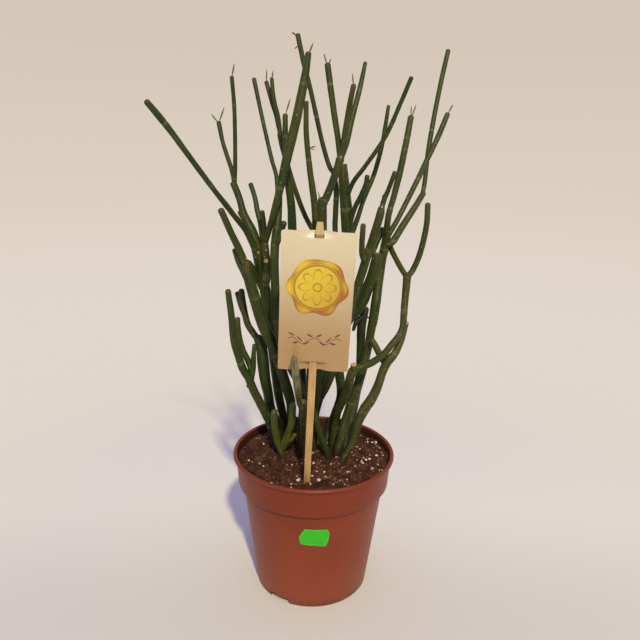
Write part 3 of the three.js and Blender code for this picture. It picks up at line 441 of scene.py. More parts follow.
# Each plant, in mm: its lines run root first, then branches, with x, y, z and radius at each point.
# tone goes from 0 green to 1 olive; brownTip is the length of the browned end;
# cutEnds says how light the flat cut of a line is; shortTips names lines with a stubby tip;
# charred and sheath spots have a place and a reach; scars have a foot, a reach and a radius;
# leaves have a foot, a point and a width.
stems = {
    "stem_twin_left": {
        "slot": "green_stem", "tone": 0.25, "brownTip": 9,
        "lines": [
            [[-27, 3.5, 82.5, 3.3], [-28.5, 4.5, 110.5, 3.6], [-35.5, 8, 132, 3.7], [-40, 7, 143, 3.7],
             [-45, 6, 154, 3.5], [-49, 5, 163, 3.4], [-53, 4, 174, 3.3], [-57, 3, 181.5, 3.2], [-59.5, 2, 189.5, 3],
             [-63.5, -1, 206.5, 2.7], [-64.5, -5, 228, 2.6], [-66, -10, 248.5, 2.2]],
            [[-50, 5, 178, 2.5], [-52.5, 7, 185, 2.5], [-55, 8, 190, 2.5], [-57.5, 9, 195, 2.4], [-60, 10, 203, 2.3],
             [-61.5, 11, 213, 2.2], [-62, 12, 221, 2.1]],
            [[-52.5, 5, 166, 2.5], [-51, 5, 174, 2.6], [-49.5, 5.5, 182.5, 2.4], [-49, 6.5, 193, 1.9],
             [-48.5, 7.5, 201, 1.5]],
        ],
    },
    "stem_fork_left": {
        "slot": "green_stem", "tone": 0.2, "brownTip": 9,
        "lines": [
            [[-26.5, 20.5, 82.5, 3.5], [-27.5, 20.5, 110.5, 3.9], [-32, 20, 128, 4.2], [-36.5, 17, 143, 4],
             [-38.5, 14, 158.5, 4.1], [-40.5, 12, 170.5, 4.6], [-42, 12, 184.5, 4.9], [-43.5, 12, 198, 4.4],
             [-46.5, 12, 206, 3.5]],
            [[-46.5, 12, 204.5, 2.6], [-50.5, 12.5, 210, 2.6], [-54.5, 13, 217, 2.6], [-57.5, 15, 230, 2.5],
             [-59.5, 18, 242.5, 2.4]],
            [[-56, 14, 221, 2], [-60.5, 19, 230.5, 2], [-63.5, 23, 239, 2]],
        ],
    },
    "stem_olive": {
        "slot": "olive_stem", "tone": 0.3, "brownTip": 10,
        "scars": [((-53.3, -11.3, 273), (1.4, -1.8, 0.4), 0.7)],
        "lines": [
            [[-19, 18.5, 82.5, 3.1], [-18.5, 17, 110.5, 3.5], [-18, 12, 129.5, 3.7], [-19, 10.5, 142, 3.8],
             [-19.5, 9, 152, 4], [-22, 6.5, 163.5, 4.2], [-25, 4, 175, 4.1], [-32.5, 0, 200.5, 4.5],
             [-40.5, -4, 221, 4.6], [-46.5, -8, 243, 4.3], [-51.5, -10, 262.5, 3.9], [-52, -11, 271, 2.9]],
            [[-52, -10.5, 267, 2.7], [-57, -13, 280, 2.7], [-62, -17, 292.5, 2.4], [-68, -24, 309.5, 2.3]],
            [[-50.5, -10, 253.5, 2.1], [-54.5, -9.5, 262.5, 2], [-58, -9, 270, 2], [-61, -8, 279, 1.9]],
        ],
    },
    "stem_whorl": {
        "slot": "green_stem", "tone": 0.3, "brownTip": 9,
        "shortTips": [1],
        "sheath": [((-37.0, 2.0, 256.0), 6.0)],
        "scars": [
            ((-38.5, 0.2, 269.7), (0.2, -2.3, 0.1), 1.7), ((-44.8, 4.9, 275), (0.4, -2.2, 0.3), 1),
            ((-38.7, -0.9, 278.3), (0.4, -2.3, -0.1), 0.8), ((-39.3, -0.2, 273), (-0.2, -2.3, 0), 0.5),
        ],
        "leaves": [
            [[-75.5, 25, 367.5], [-81, 25, 374.5], 2.2], [[-75.5, 25, 367.5], [-71, 25, 379.5], 2.4],
            [[-63, 8, 398], [-61, 8, 408], 2.2], [[-9, -6, 413], [-6, -6, 420.5], 2.6],
        ],
        "lines": [
            [[-20.5, 35, 82.5, 3], [-21.5, 34, 110.5, 3.4], [-25.5, 30, 125.5, 3.4], [-28.5, 27, 140.5, 3.7],
             [-30.5, 25.5, 152, 3.8], [-32, 24, 166, 3.9], [-34.5, 21, 190, 4.1], [-36.5, 17, 214, 4.2],
             [-40, 12, 242.5, 4.3], [-42.5, 9, 256.5, 4.2], [-44, 7, 267, 4.3], [-45.5, 7, 275.5, 4.2]],
            [[-45.5, 6, 273.5, 2.7], [-49.5, 2.5, 283.5, 2.5], [-53.5, -2.5, 293, 2.3], [-60, -11, 303.5, 2],
             [-65, -18, 312, 2], [-71.5, -26, 322.5, 1.8], [-86, -44, 347.5, 1.9], [-94.5, -50, 361, 2],
             [-101, -55, 370.5, 2.2], [-107.5, -60, 379.5, 1.9]],
            [[-45, 7, 273, 4.3], [-47.5, 9, 282.5, 4.3], [-50.5, 11, 290.5, 4], [-54.5, 13, 298, 3.3],
             [-57.5, 14.5, 305.5, 2.7], [-60, 16.5, 314, 2.6], [-64.5, 18, 325, 2.6]],
            [[-63.5, 17.5, 322.5, 1.6], [-65.5, 19, 334, 1.7], [-72, 22, 353, 1.6], [-75.5, 25, 368.5, 1.8]],
            [[-63.5, 17.5, 322.5, 1.6], [-62.5, 16, 341.5, 1.6], [-62, 12, 375.5, 1.5], [-63, 8, 399, 1.5]],
            [[-50, 10, 290, 2.1], [-54.5, 14, 295.5, 2.1], [-58, 16.5, 300.5, 2], [-60, 18, 303.5, 1.9]],
            [[-41, 5, 282, 2.2], [-42.5, 7, 291.5, 2], [-44, 9.5, 298.5, 1.9], [-46, 12, 305.5, 2],
             [-48, 15, 314.5, 1.8], [-51.5, 18, 324.5, 1.8]],
            [[-39.5, 5, 282, 2.1], [-40, 2.5, 293.5, 2], [-40.5, 0.5, 300, 1.9], [-41, -2, 306.5, 1.7]],
            [[-42, 5, 276.5, 2.7], [-38, -1.5, 287, 2.3], [-35, -6, 296.5, 2.2], [-32.5, -9, 305.5, 2.3],
             [-30, -11, 314.5, 2.5], [-27.5, -11.5, 324, 2.8], [-23.5, -11, 342, 3.3], [-17, -10, 369, 3.3],
             [-13.5, -8, 386.5, 3.1], [-11, -7, 400, 2.7], [-9, -6, 414, 2.1]],
            [[-40.5, 10.5, 246.5, 3.3], [-38.5, 5, 258, 3.3], [-38.5, 2, 267.5, 3.2], [-39, 0.5, 276, 3],
             [-39, -1, 283, 2.4]],
            [[-43, 11, 246.5, 2.5], [-46, 6, 255.5, 2.6], [-49, 2, 263, 2.5], [-51.5, -1, 268.5, 2.1]],
        ],
    },
    "stem_by_card": {
        "slot": "green_stem", "tone": 0.15, "brownTip": 8,
        "lines": [
            [[11.5, -6, 82.5, 2.6], [11.5, -4.5, 110.5, 2.9], [5, -3, 129, 2.9], [-0.5, -3, 148, 2.9],
             [-10, -4, 169, 3.1], [-19.5, -5, 187, 3.2], [-26, -6, 203.5, 3.4], [-30, -6, 223.5, 3.4],
             [-31, -6, 240.5, 3.3], [-31.5, -5, 256, 3.3], [-32, -4.5, 268, 3.4], [-31.5, -3, 283.5, 3.3],
             [-30, 1, 298.5, 3], [-29.5, 6, 310.5, 2.6], [-29.5, 10, 321, 2.4]],
            [[-30, 8.5, 317, 2.1], [-32, 14, 331.5, 1.6], [-36, 20, 343.5, 1.6], [-43.5, 28, 372.5, 1.6],
             [-50, 34, 400, 1.7]],
            [[-30, -4.5, 283, 2], [-26.5, -9, 294, 2.2], [-24.5, -12, 300, 2.1]],
        ],
    },
    "stem_slim": {
        "slot": "green_stem", "tone": 0.2, "brownTip": 8,
        "leaves": [[[-26.5, 32, 374], [-22.5, 32, 387], 2.4]],
        "lines": [
            [[-11.5, 43.5, 82.5, 2.4], [-12, 42, 108.5, 2.8], [-10.5, 34, 138, 3], [-11, 34, 170, 3.3],
             [-13, 33, 214, 3.4], [-17, 31, 256.5, 3.5], [-20, 29, 285, 3.6], [-21, 28, 306, 3.2],
             [-23.5, 28, 325, 2.8], [-26, 30, 349.5, 2.2], [-26.5, 32, 375, 2]],
        ],
    },
    "stem_crossing": {
        "slot": "green_stem", "tone": 0.25, "brownTip": 10,
        "leaves": [[[-42.5, 55, 398.5], [-42, 55, 409], 2.2], [[-37.5, 44, 400.5], [-36.5, 44, 407], 2]],
        "lines": [
            [[-3, 47, 82.5, 2.4], [-2.5, 46.5, 108.5, 2.8], [-0.5, 44, 129, 2.8], [2, 46, 151.5, 2.8],
             [8, 48, 188, 2.9], [12.5, 50, 218.5, 2.8], [9, 50, 253, 2.8], [0.5, 48, 278.5, 2.5],
             [-10, 46, 296.5, 2], [-18.5, 44, 317.5, 2.1], [-24, 44, 334, 2.1], [-29, 44, 351.5, 2.3],
             [-31, 44, 361, 2.5]],
            [[-30.5, 44, 358, 1.8], [-32.5, 44, 373.5, 1.7], [-35, 44, 382.5, 1.7], [-36.5, 44, 391, 1.6],
             [-37.5, 44, 401.5, 1.5]],
            [[-30.5, 44.5, 359, 1.9], [-34, 47, 373.5, 1.8], [-38, 50, 385.5, 1.9], [-42.5, 55, 399.5, 1.8]],
        ],
    },
    "stem_brown_tip": {
        "slot": "olive_stem", "tone": 0.6, "brownTip": 60,
        "cutEnds": {0: 0.25},
        "leaves": [[[-8, 14.7, 351.5], [-2.9, 13.9, 352.9], 2.2], [[-8, 14.6, 351.1], [-3.3, 13.3, 350.4], 1.7]],
        "lines": [
            [[-5, 35.5, 82.5, 2.4], [-5, 34.5, 108.5, 2.6], [-5.5, 26, 132.5, 2.5], [-4.5, 24, 165, 3],
             [-3, 22, 217.5, 3.2], [-2, 19, 267, 3.1], [-2, 18, 290.5, 2.8], [-2.5, 17, 302.5, 2.6],
             [-4, 16, 316.5, 2.6], [-7, 15, 335.5, 2.2], [-10, 14, 360.5, 2], [-10.5, 12, 384, 1.8]],
        ],
    },
    "stem_y": {
        "slot": "green_stem", "tone": 0.3, "brownTip": 9,
        "scars": [((14.9, -13, 346.6), (-0.2, -2.3, -0.4), 1)],
        "leaves": [
            [[4, -9, 406], [1.5, -9, 414], 2.2], [[4, -9, 406], [6.5, -9, 410.5], 1.8],
            [[21.5, -24, 392], [20.5, -24, 400.5], 2.2], [[1.5, -10.5, 313], [-1, -13, 323], 1.8],
        ],
        "lines": [
            [[0, 5.5, 82.5, 2.4], [0, 5.5, 110.5, 2.8], [0, 6, 131, 2.8], [0.5, 3, 151.5, 2.8], [2, 1.5, 169.5, 3.1],
             [2, 0, 191.5, 3.2], [2, -4, 241, 3.5], [2.5, -8, 287, 3.9], [2.5, -9, 309, 3.5], [2.5, -9, 317, 3.2]],
            [[2.5, -9, 311, 2.7], [8, -10, 325, 2.7], [12, -11, 336.5, 2.7], [14.5, -12, 345.5, 3]],
            [[14.5, -12, 342.5, 1.9], [12.5, -12, 358, 2.1], [8.5, -11, 380, 2.2], [4, -9, 407, 2.2]],
            [[14.5, -12, 343, 2], [17, -16, 361.5, 2.1], [19, -20, 378, 1.9], [21.5, -24, 393, 1.8]],
            [[13.5, -12, 342.5, 2.2], [18, -11, 355.5, 2.4], [22, -6, 373, 2.1], [27, 0, 392.5, 1.8],
             [30.5, 6, 410, 1.4]],
        ],
    },
    "stem_thick_cut": {
        "slot": "green_stem", "tone": 0.2, "brownTip": 9,
        "cutEnds": {0: 0.3}, "shortTips": [0],
        "leaves": [[[-18, 38, 430.5], [-22.5, 37, 433], 2.6], [[-17.5, 38, 424], [-20.5, 36, 421], 2]],
        "lines": [
            [[-3, 19.5, 82.5, 2.5], [-2, 21.5, 110.5, 2.8], [0, 27, 122.5, 2.8], [1.5, 29, 135, 3],
             [4.5, 31, 148, 3.4], [8.5, 33, 163.5, 3.7], [15, 34.5, 188, 3.8], [21, 31, 215.5, 4],
             [24, 30, 241, 4.4], [23.5, 30, 277.5, 4.6], [22, 30, 301, 4.8], [19, 30, 327, 4.1], [18, 30, 340, 2.9]],
            [[24, 31, 238, 2.1], [16.5, 34, 271, 2.2], [13.5, 36, 288.5, 2.2], [13.5, 37, 304, 2.2],
             [13.5, 37, 319.5, 2.2], [11, 37, 332.5, 1.9], [7.5, 37, 338, 1.9], [1.5, 38, 356.5, 1.8],
             [-5.5, 38, 384, 1.8], [-8.5, 38, 395.5, 1.8], [-13.5, 38, 413, 1.9], [-18, 38, 431.5, 1.9]],
            [[20, 30, 310, 2], [25.5, 22, 326.5, 1.8], [34, 15, 339.5, 1.7], [47, 8, 360.5, 1.7],
             [56.5, 4, 384, 1.6], [62.5, 0, 400.5, 1.6]],
            [[24, 30.5, 278, 2.1], [28.5, 34, 291.5, 2.1], [31.5, 36, 300, 2], [34.5, 38, 310, 1.8],
             [38, 39, 319.5, 1.8], [43, 41, 332.5, 1.9], [47.5, 43, 350.5, 1.8], [50, 44, 366.5, 1.7],
             [52, 45, 383.5, 1.4]],
            [[22.5, 29.5, 284, 2], [27, 25, 305, 2], [32.5, 22, 318, 2], [35.5, 21, 326.5, 1.9], [36, 20, 332, 1.9]],
        ],
    },
    "stem_straight": {
        "slot": "green_stem", "tone": 0.35, "brownTip": 8,
        "scars": [((46, -0.8, 310.8), (0, -2.1, 0.8), 0.9)],
        "lines": [
            [[-12, 8, 82.5, 2.4], [-11.5, 9.5, 110.5, 2.7], [-10, 13.5, 121.5, 2.8], [-6.5, 17, 131, 3],
             [-1.5, 16.5, 142, 3.2], [5, 15.5, 155, 3.3], [11, 14, 168.5, 3.3], [18.5, 12, 193.5, 3.4],
             [28.5, 8, 238.5, 3.4], [36.5, 4, 271, 3.3], [41, 2, 288, 3.1], [45.5, 0, 307, 3], [45.5, 0, 311, 2.3]],
            [[45.5, 0, 307, 2], [47.5, 0, 316, 1.9], [50.5, -1, 324.5, 1.7], [54, -4, 336.5, 1.7]],
            [[46, 0, 311, 1.2], [47, 1.5, 316, 1.1], [47.5, 3, 319.5, 1]],
            [[35.5, 3, 269.5, 2.3], [33, -1, 277.5, 2.3], [32.5, -3, 285, 2.1], [32.5, -6, 292.5, 2.1],
             [32.5, -8, 299, 2]],
        ],
    },
    "stem_right_main": {
        "slot": "green_stem", "tone": 0.45, "brownTip": 9,
        "shortTips": [3, 4],
        "leaves": [
            [[67.5, 28, 374.5], [67.5, 28, 383], 2], [[67.5, 28, 374.5], [70.5, 28, 384.5], 2.2],
            [[101.5, 62, 379.5], [105, 62, 386.5], 2.8],
        ],
        "lines": [
            [[17.5, -1, 82.5, 3.3], [19, 0, 110.5, 3.6], [21.5, 3, 120, 3.7], [23.5, 5, 129, 3.8],
             [25.5, 7, 137, 3.8], [28, 8.5, 145.5, 3.8], [30.5, 10, 153.5, 3.9], [33.5, 10.5, 162.5, 3.9],
             [36.5, 11, 174.5, 3.8], [39.5, 12, 187, 3.5], [42, 12, 200.5, 3.1], [43.5, 12, 214, 3.4],
             [45, 13, 222.5, 3.7], [46.5, 15, 236, 3.9], [48, 20, 246.5, 3.6], [49.5, 23, 259.5, 3.6],
             [50.5, 22.5, 269, 3.5], [52, 22, 278, 3.4], [52.5, 20, 285.5, 3.1], [52.5, 17, 295, 2.5],
             [53, 15, 304.5, 2.3]],
            [[53, 15, 303.5, 2.3], [54.5, 15.5, 310.5, 2.2], [56, 16, 316, 2.3], [60, 20, 333, 2.5],
             [64, 24, 354, 2.4], [67.5, 28, 375.5, 2.3]],
            [[53, 20, 280, 2.5], [58, 22, 282.5, 2.8], [66, 29, 294, 2.7], [77, 38, 309.5, 2.4],
             [83, 44, 318.5, 2.3]],
            [[82, 43, 316.5, 1.8], [84, 47, 328, 1.9], [86, 53, 349.5, 2], [90, 60, 376, 2], [95.5, 67, 407, 2],
             [100, 72, 428.5, 1.9]],
            [[53, 18.5, 285.5, 2.1], [55.5, 18, 291, 2.1], [61.5, 22, 301, 2], [76.5, 36, 329, 2.1],
             [83.5, 44, 342.5, 2.1], [93.5, 54, 362, 2.2], [101.5, 62, 380.5, 2.1]],
        ],
    },
    "stem_behind": {
        "slot": "green_stem", "tone": 0.2, "brownTip": 8,
        "cutEnds": {0: 0.25},
        "lines": [
            [[10, 19, 82.5, 3], [11, 22, 110.5, 3.3], [12.5, 27, 117.5, 3.4], [15.5, 30, 127, 3.4],
             [18.5, 29, 137, 3.4], [21.5, 28, 147.5, 3.6], [22, 28, 156.5, 3.8], [20.5, 27.5, 167.5, 3.9],
             [18.5, 26.5, 182, 4], [18.5, 24, 196, 4.3], [22, 22, 211.5, 4.5], [27, 20, 222, 4.5],
             [32.5, 18.5, 229, 4.5], [36.5, 17.5, 236, 4.6], [39.5, 16.5, 246, 4.6], [42.5, 16, 255, 4.5],
             [44.5, 15.5, 263.5, 4.4], [45.5, 15, 270, 4], [46, 15, 274.5, 3.7]],
            [[41.5, 18, 271.5, 2.1], [46, 25, 281.5, 2.2], [49, 27, 287.5, 2.2], [50.5, 28, 292, 1.9]],
        ],
    },
    "stem_elbow": {
        "slot": "olive_stem", "tone": 0.6, "brownTip": 8,
        "cutEnds": {2: 1.0},
        "scars": [((67.4, -7.3, 225.4), (1.4, -1.7, 0.5), 1.3)],
        "lines": [
            [[14, 10.5, 82.5, 2.7], [15, 11.5, 110.5, 3.1], [16, 12.5, 117, 3.2], [17, 13, 127, 3.2],
             [18, 11, 137, 3], [19.5, 7, 146.5, 3], [22, 2.5, 155, 3.1], [24, -2, 164, 3.4], [26, -7, 173.5, 3.5],
             [27, -11.5, 182.5, 3.4], [28.5, -14.5, 189.5, 3.3]],
            [[27.5, -12.5, 185.5, 2.9], [30.5, -15, 191, 3.1], [35, -15.5, 192.5, 2.8], [43, -15, 196, 2.7],
             [51.5, -14, 202.5, 2.6], [56.5, -12.5, 208.5, 2.6], [62.5, -10.5, 216, 2.6], [65.5, -8.5, 222.5, 2.6],
             [66, -6.5, 231, 2.6], [66.5, -4, 240, 2.7], [67.5, -1, 255.5, 3], [67.5, -1, 260, 3.2]],
            [[29, -15, 189, 2.5], [29, -17.5, 195, 2.3]],
            [[67.5, -1, 259.5, 2.2], [71.5, -3, 266, 2.2], [75.5, -6, 279.5, 2.2], [78, -10, 299.5, 2.1],
             [77.5, -13, 315.5, 2]],
            [[67.5, -1, 259.5, 2.1], [63.5, 10, 265, 2.1], [57.5, 24.5, 276, 2.2], [55, 26.5, 283.5, 1.9],
             [54, 24.5, 290, 1.8]],
        ],
    },
    "stem_black_knee": {
        "slot": "green_stem", "tone": 0.3, "brownTip": 8,
        "charred": [((36.5, 28.0, 219.0), 9.0), ((30.0, 24.0, 212.0), 9.0), ((36.0, 28.0, 205.0), 8.0)],
        "leaves": [[[39, 29.8, 219.6], [44.9, 28.4, 218.4], 2.6]],
        "lines": [
            [[24, 5.5, 82.5, 2.5], [25.5, 8, 110.5, 2.7], [27.5, 13, 118, 2.9], [30, 18, 126.5, 3.1],
             [32, 22, 135, 3.3], [33.5, 24, 145, 3.4], [35.5, 26, 158, 3.4], [37, 27.5, 173.5, 3.4],
             [37, 28.5, 195, 3.5], [37, 29, 210.5, 3.7], [38.5, 30, 220.5, 3.5], [40, 30.5, 226.5, 2.9]],
            [[37, 28, 220, 2.1], [32.5, 25, 216.5, 2], [30, 23, 209.5, 1.3]],
        ],
    },
    "stem_right_fork": {
        "slot": "olive_stem", "tone": 0.8, "brownTip": 8,
        "cutEnds": {0: 0.7, 1: 0.8},
        "lines": [
            [[21, -15, 82.5, 2.4], [23, -13, 110.5, 2.6], [26, -10.5, 116, 2.7], [29, -9, 121.5, 2.7],
             [31.5, -8, 127.5, 2.8], [33.5, -8, 135, 3], [35, -8, 143, 3.4], [37, -8, 149, 3.8],
             [39.5, -8, 155, 4.1], [43.5, -8, 161.5, 4], [47, -8, 169, 3.8], [49.5, -7.5, 176, 3.5],
             [51.5, -7, 183.5, 3.3], [53.5, -6, 189, 3.5], [56.5, -5, 194, 3.5], [61, -3, 199, 3], [65, 0, 206, 2.6],
             [67.5, 2.5, 214, 2.6], [69, 3.5, 220, 2.3], [70, 4, 223, 2]],
            [[55, -5, 190, 2.5], [56.5, -4.5, 195, 3], [58, -4, 197.5, 2.8]],
            [[55, -5, 189, 1.9], [50.5, -1, 196.5, 2.6], [46.5, 1.5, 203.5, 2.6], [43.5, 3, 209, 2]],
        ],
    },
    "stem_front_sprout": {
        "slot": "olive_stem", "tone": 0.95, "brownTip": 6,
        "cutEnds": {0: 0.6},
        "sheath": [((-12.0, -58.0, 198.0), 22.0), ((-14.0, -66.0, 209.0), 22.0)],
        "leaves": [[[-14.5, -71, 217], [-15, -71.5, 221], 1.8]],
        "lines": [
            [[-9.5, -1.5, 82.5, 2.1], [-9.5, -3.5, 110.5, 2.5], [-9, -18, 142, 2.4], [-8.5, -33, 163, 2.3],
             [-8, -38, 173, 2.3]],
            [[-9, -34, 164.5, 2.2], [-11, -39.5, 173, 2.4], [-12, -46.5, 183, 2.5], [-13, -56.5, 196.5, 2.7],
             [-13.5, -65.5, 206.5, 2.7], [-14.5, -71.5, 218, 2.1]],
        ],
    },
    "stem_front_knot": {
        "slot": "green_stem", "tone": 0.2, "brownTip": 1.5,
        "green": "#566320",
        "lines": [
            [[-23, -7.5, 82.5, 2.4], [-24.5, -7.5, 110.5, 2.7], [-29, -7, 124, 2.9], [-31, -12, 141.5, 2.8],
             [-31, -15, 154.5, 2.6]],
            [[-25.5, -6, 116, 2.2], [-22.5, -9, 126, 3.5], [-20, -12, 135.5, 2.9], [-17.5, -15, 145.5, 2.8],
             [-16.5, -20, 162.5, 2.6]],
            [[-21, -10, 127, 1.9], [-18, -11, 128.5, 2], [-15, -13, 134, 1.8]],
        ],
    },
}


def makeSkinGroup():  # the succulent skin: green to olive, pale dots, tan rings, browned ends, painted shade at the bases
    colours = {name: ("Color", None) for name in ("Green", "Olive", "Dark", "Pale", "Brown")}
    masks = {name: ("Float", 0.0) for name in ("Age", "Ring", "Tip", "Cut", "Tone", "Char", "Sheath")}
    tree, given, result = newTree(
        "Shader", "stemSkin", {"Skin": ("Vector", None), "Place": ("Vector", None), **masks, **colours},
        {"Color": "Color", "Roughness": "Float", "Height": "Float"})
    skin = given["Skin"]
    blotch = noiseNode(tree, given["Place"], stemLook["blotchSize"], 3.0)
    fine = noiseNode(tree, skin, stemLook["fineSize"], 2.0)
    streak = noiseNode(tree, stretchedNode(tree, skin, stemLook["streakDraw"]), stemLook["streakSize"], 3.0)
    inputs = {"Vector": skin, "Scale": stemLook["dotSize"], "Randomness": 1.0}
    dots = addNode(tree, "ShaderNodeTexVoronoi", inputs).outputs
    chosen = addNode(tree, "ShaderNodeSeparateColor", {"Color": dots["Color"]}).outputs[0]
    dotMask = rampNode(tree, dots["Distance"], *stemLook["dotEdge"], 1.0, 0.0)
    dotMask = times(tree, dotMask, rampNode(tree, chosen, *stemLook["dotChosen"]))

    def worn(mask, pattern, *stops):  # a mask broken up by a pattern
        return times(tree, mask, rampNode(tree, pattern, *stops))

    shift = mathNode(tree, "MULTIPLY_ADD", blotch, stemLook["toneSwing"], -stemLook["toneSwing"] / 2)
    aged = times(tree, given["Age"], stemLook["ageTone"])
    olive = mathNode(tree, "ADD", mathNode(tree, "ADD", given["Tone"], shift), aged)
    colour = mixColour(tree, rampNode(tree, olive, 0.0, 1.0), given["Green"], given["Olive"])
    # painted shade: the stems darken towards their bases at the soil
    baseShade = worn(rampNode(tree, given["Age"], *stemLook["baseShadeTurn"], 0.85, 0.0), fine, 0.3, 0.6, 0.35, 1.0)
    layers = [
        (rampNode(tree, streak, 0.35, 0.62, 0.55, 0.0), given["Dark"]),
        (times(tree, dotMask, stemLook["dotShow"]), given["Pale"]),
        (times(tree, worn(given["Ring"], fine, 0.3, 0.6), stemLook["ringShow"]), given["Pale"]),
        (worn(given["Tip"], blotch, 0.3, 0.6, 0.05, 0.5), given["Brown"]),
        (baseShade, stemLook["baseShade"]),
        (worn(given["Sheath"], streak, 0.35, 0.6, 0.15, 0.75), given["Pale"]),
        (worn(given["Char"], fine, 0.2, 0.6, 0.6, 1.0), stemLook["withered"]),
        (given["Cut"], mixColour(tree, fine, stemLook["cutPale"], stemLook["cutDeep"])),
    ]
    for mask, above in layers:
        colour = mixColour(tree, mask, colour, above)
    putOut(tree, result, Color=colour, Roughness=rampNode(tree, fine, 0.3, 0.7, 0.42, 0.62),
           Height=mathNode(tree, "MULTIPLY_ADD", streak, 0.5, times(tree, dotMask, 0.6)))
    return tree


def curvePoint(a, b, c, d, u):
    return 0.5 * (2 * b + (c - a) * u + (2 * a - 5 * b + 4 * c - d) * u ** 2 + (3 * b - a - 3 * c + d) * u ** 3)


def smoothLine(points, step):  # evenly spaced stations (place, radius) along a stem line, in mm
    line = [Vector(p[:3]) for p in points]
    line = [line[0] * 2 - line[1]] + line + [line[-1] * 2 - line[-2]]
    stations = []
    for i in range(len(points) - 1):
        count = max(2, round((line[i + 2] - line[i + 1]).length / step))
        for k in range(count):
            u = k / count
            place = curvePoint(line[i], line[i + 1], line[i + 2], line[i + 3], u)
            stations.append((place, points[i][3] * (1 - u) + points[i + 1][3] * u))
    stations.append((line[-2], points[-1][3]))
    return stations


def pathLengths(stations):
    lengths = [0.0]
    for (a, _), (b, _) in zip(stations, stations[1:]):
        lengths.append(lengths[-1] + (b - a).length)
    return lengths


def roundTip(stations, extra):  # replaces the last stretch by a rounded end, reaching a little further
    end, radius = stations[-1]
    direction = (end - stations[-2][0]).normalized()
    end = end + direction * extra * radius
    reach = stemLook["tipLength"] * radius
    kept = [s for s in stations if (end - s[0]).length > reach]
    for share in (1.0, 0.72, 0.48, 0.28, 0.13, 0.04):
        kept.append((end - direction * reach * share, radius * math.sqrt(max(0.0, 1 - (1 - share) ** 2.2))))
    kept.append((end, radius * 0.08))
    return kept


def cutTip(stations):  # a flat end with a slightly eased edge
    end, radius = stations[-1]
    direction = (end - stations[-2][0]).normalized()
    kept = [s for s in stations if (end - s[0]).length > 0.5]
    kept += [(end - direction * 0.3, radius), (end - direction * 0.05, radius * 0.95), (end, radius * 0.86)]
    return kept


def nearSpot(place, spots):  # 1 at a spot's middle, 0 outside its reach
    return max((max(0.0, 1.6 - 1.6 * (place - Vector(spot)).length / reach) for spot, reach in spots), default=0.0)


def scarRows(plant):  # short stubs where a twig was cut or fell off
    rows = []
    for place, out, radius in plant.get("scars", []):
        start, end = Vector(place), Vector(place) + Vector(out)
        stations = cutTip([(start + (end - start) * i / 6, radius) for i in range(7)])
        last = len(stations) - 1
        rows.append([{
            "place": spot * mm, "stemRadius": wide * mm, "along": (900 + i) * mm, "age": 0.3, "ring": 0.0,
            "tip": 0.0, "cut": 0.55 if i >= last - 1 else 0.0, "char": 0.0, "sheath": 0.5, "slim": True,
        } for i, (spot, wide) in enumerate(stations)])
    return rows


def scarPlaces(total, isBranch, rng):  # where the leaf scars ring a line
    rings = [5.5] if isBranch else []
    at = rng.uniform(*stemLook["scarEvery"])
    while at < total - stemLook["scarFree"]:
        rings.append(at)
        at += rng.uniform(*stemLook["scarEvery"])
    return rings


def stemRows(plant, rng):  # every ring of a plant with what its skin needs
    rows = []
    for number, points in enumerate(plant["lines"]):
        stations = smoothLine(points, stemLook["step"])
        cut = plant.get("cutEnds", {}).get(number, 0.0)
        isShort = number in plant.get("shortTips", [])
        reach = stemLook["shortReach" if isShort else "tipReach"]
        stations = cutTip(stations) if cut else roundTip(stations, reach)
        lengths = pathLengths(stations)
        total = lengths[-1]
        rings = scarPlaces(total, number > 0, rng)
        line = []
        for (place, radius), length in zip(stations, lengths):
            near = min((abs(length - ring) for ring in rings), default=99)
            ring = math.exp(-(near / stemLook["ringReach"]) ** 2)
            swell = math.exp(-(near / stemLook["swellReach"]) ** 2) * stemLook["ringSwell"]
            swell -= ring * stemLook["ringDip"]
            fromTip = total - length
            line.append({
                "place": place * mm,
                "stemRadius": radius * (1 + swell) * mm,
                "along": (length + stemLook["lineShift"] * number) * mm,
                "age": min(1.0, place.z / stemLook["plantHeight"]),
                "ring": ring,
                "tip": max(0.0, 1 - fromTip / plant["brownTip"]),
                "cut": cut if fromTip < 0.04 else 0.0,
                "char": nearSpot(place, plant.get("charred", [])),
                "sheath": nearSpot(place, plant.get("sheath", [])),
                "slim": points[1][3] < stemLook["slimBelow"],
            })
        rows.append(line)
    return rows + scarRows(plant)


def routeMesh(name, rows):  # loose edges that carry the ring values as attributes
    places, edges = [], []
    values = {key: [] for key in rows[0][0] if key not in ("place", "slim")}
    for line in rows:
        first = len(places)
        for row in line:
            places.append(row["place"])
            for key, column in values.items():
                column.append(row[key])
        edges += [(i, i + 1) for i in range(first, len(places) - 1)]
    mesh = bpy.data.meshes.new(name)
    mesh.from_pydata(places, edges, [])
    for key, column in values.items():
        mesh.attributes.new(key, "FLOAT", "POINT").data.foreach_set("value", column)
    return mesh


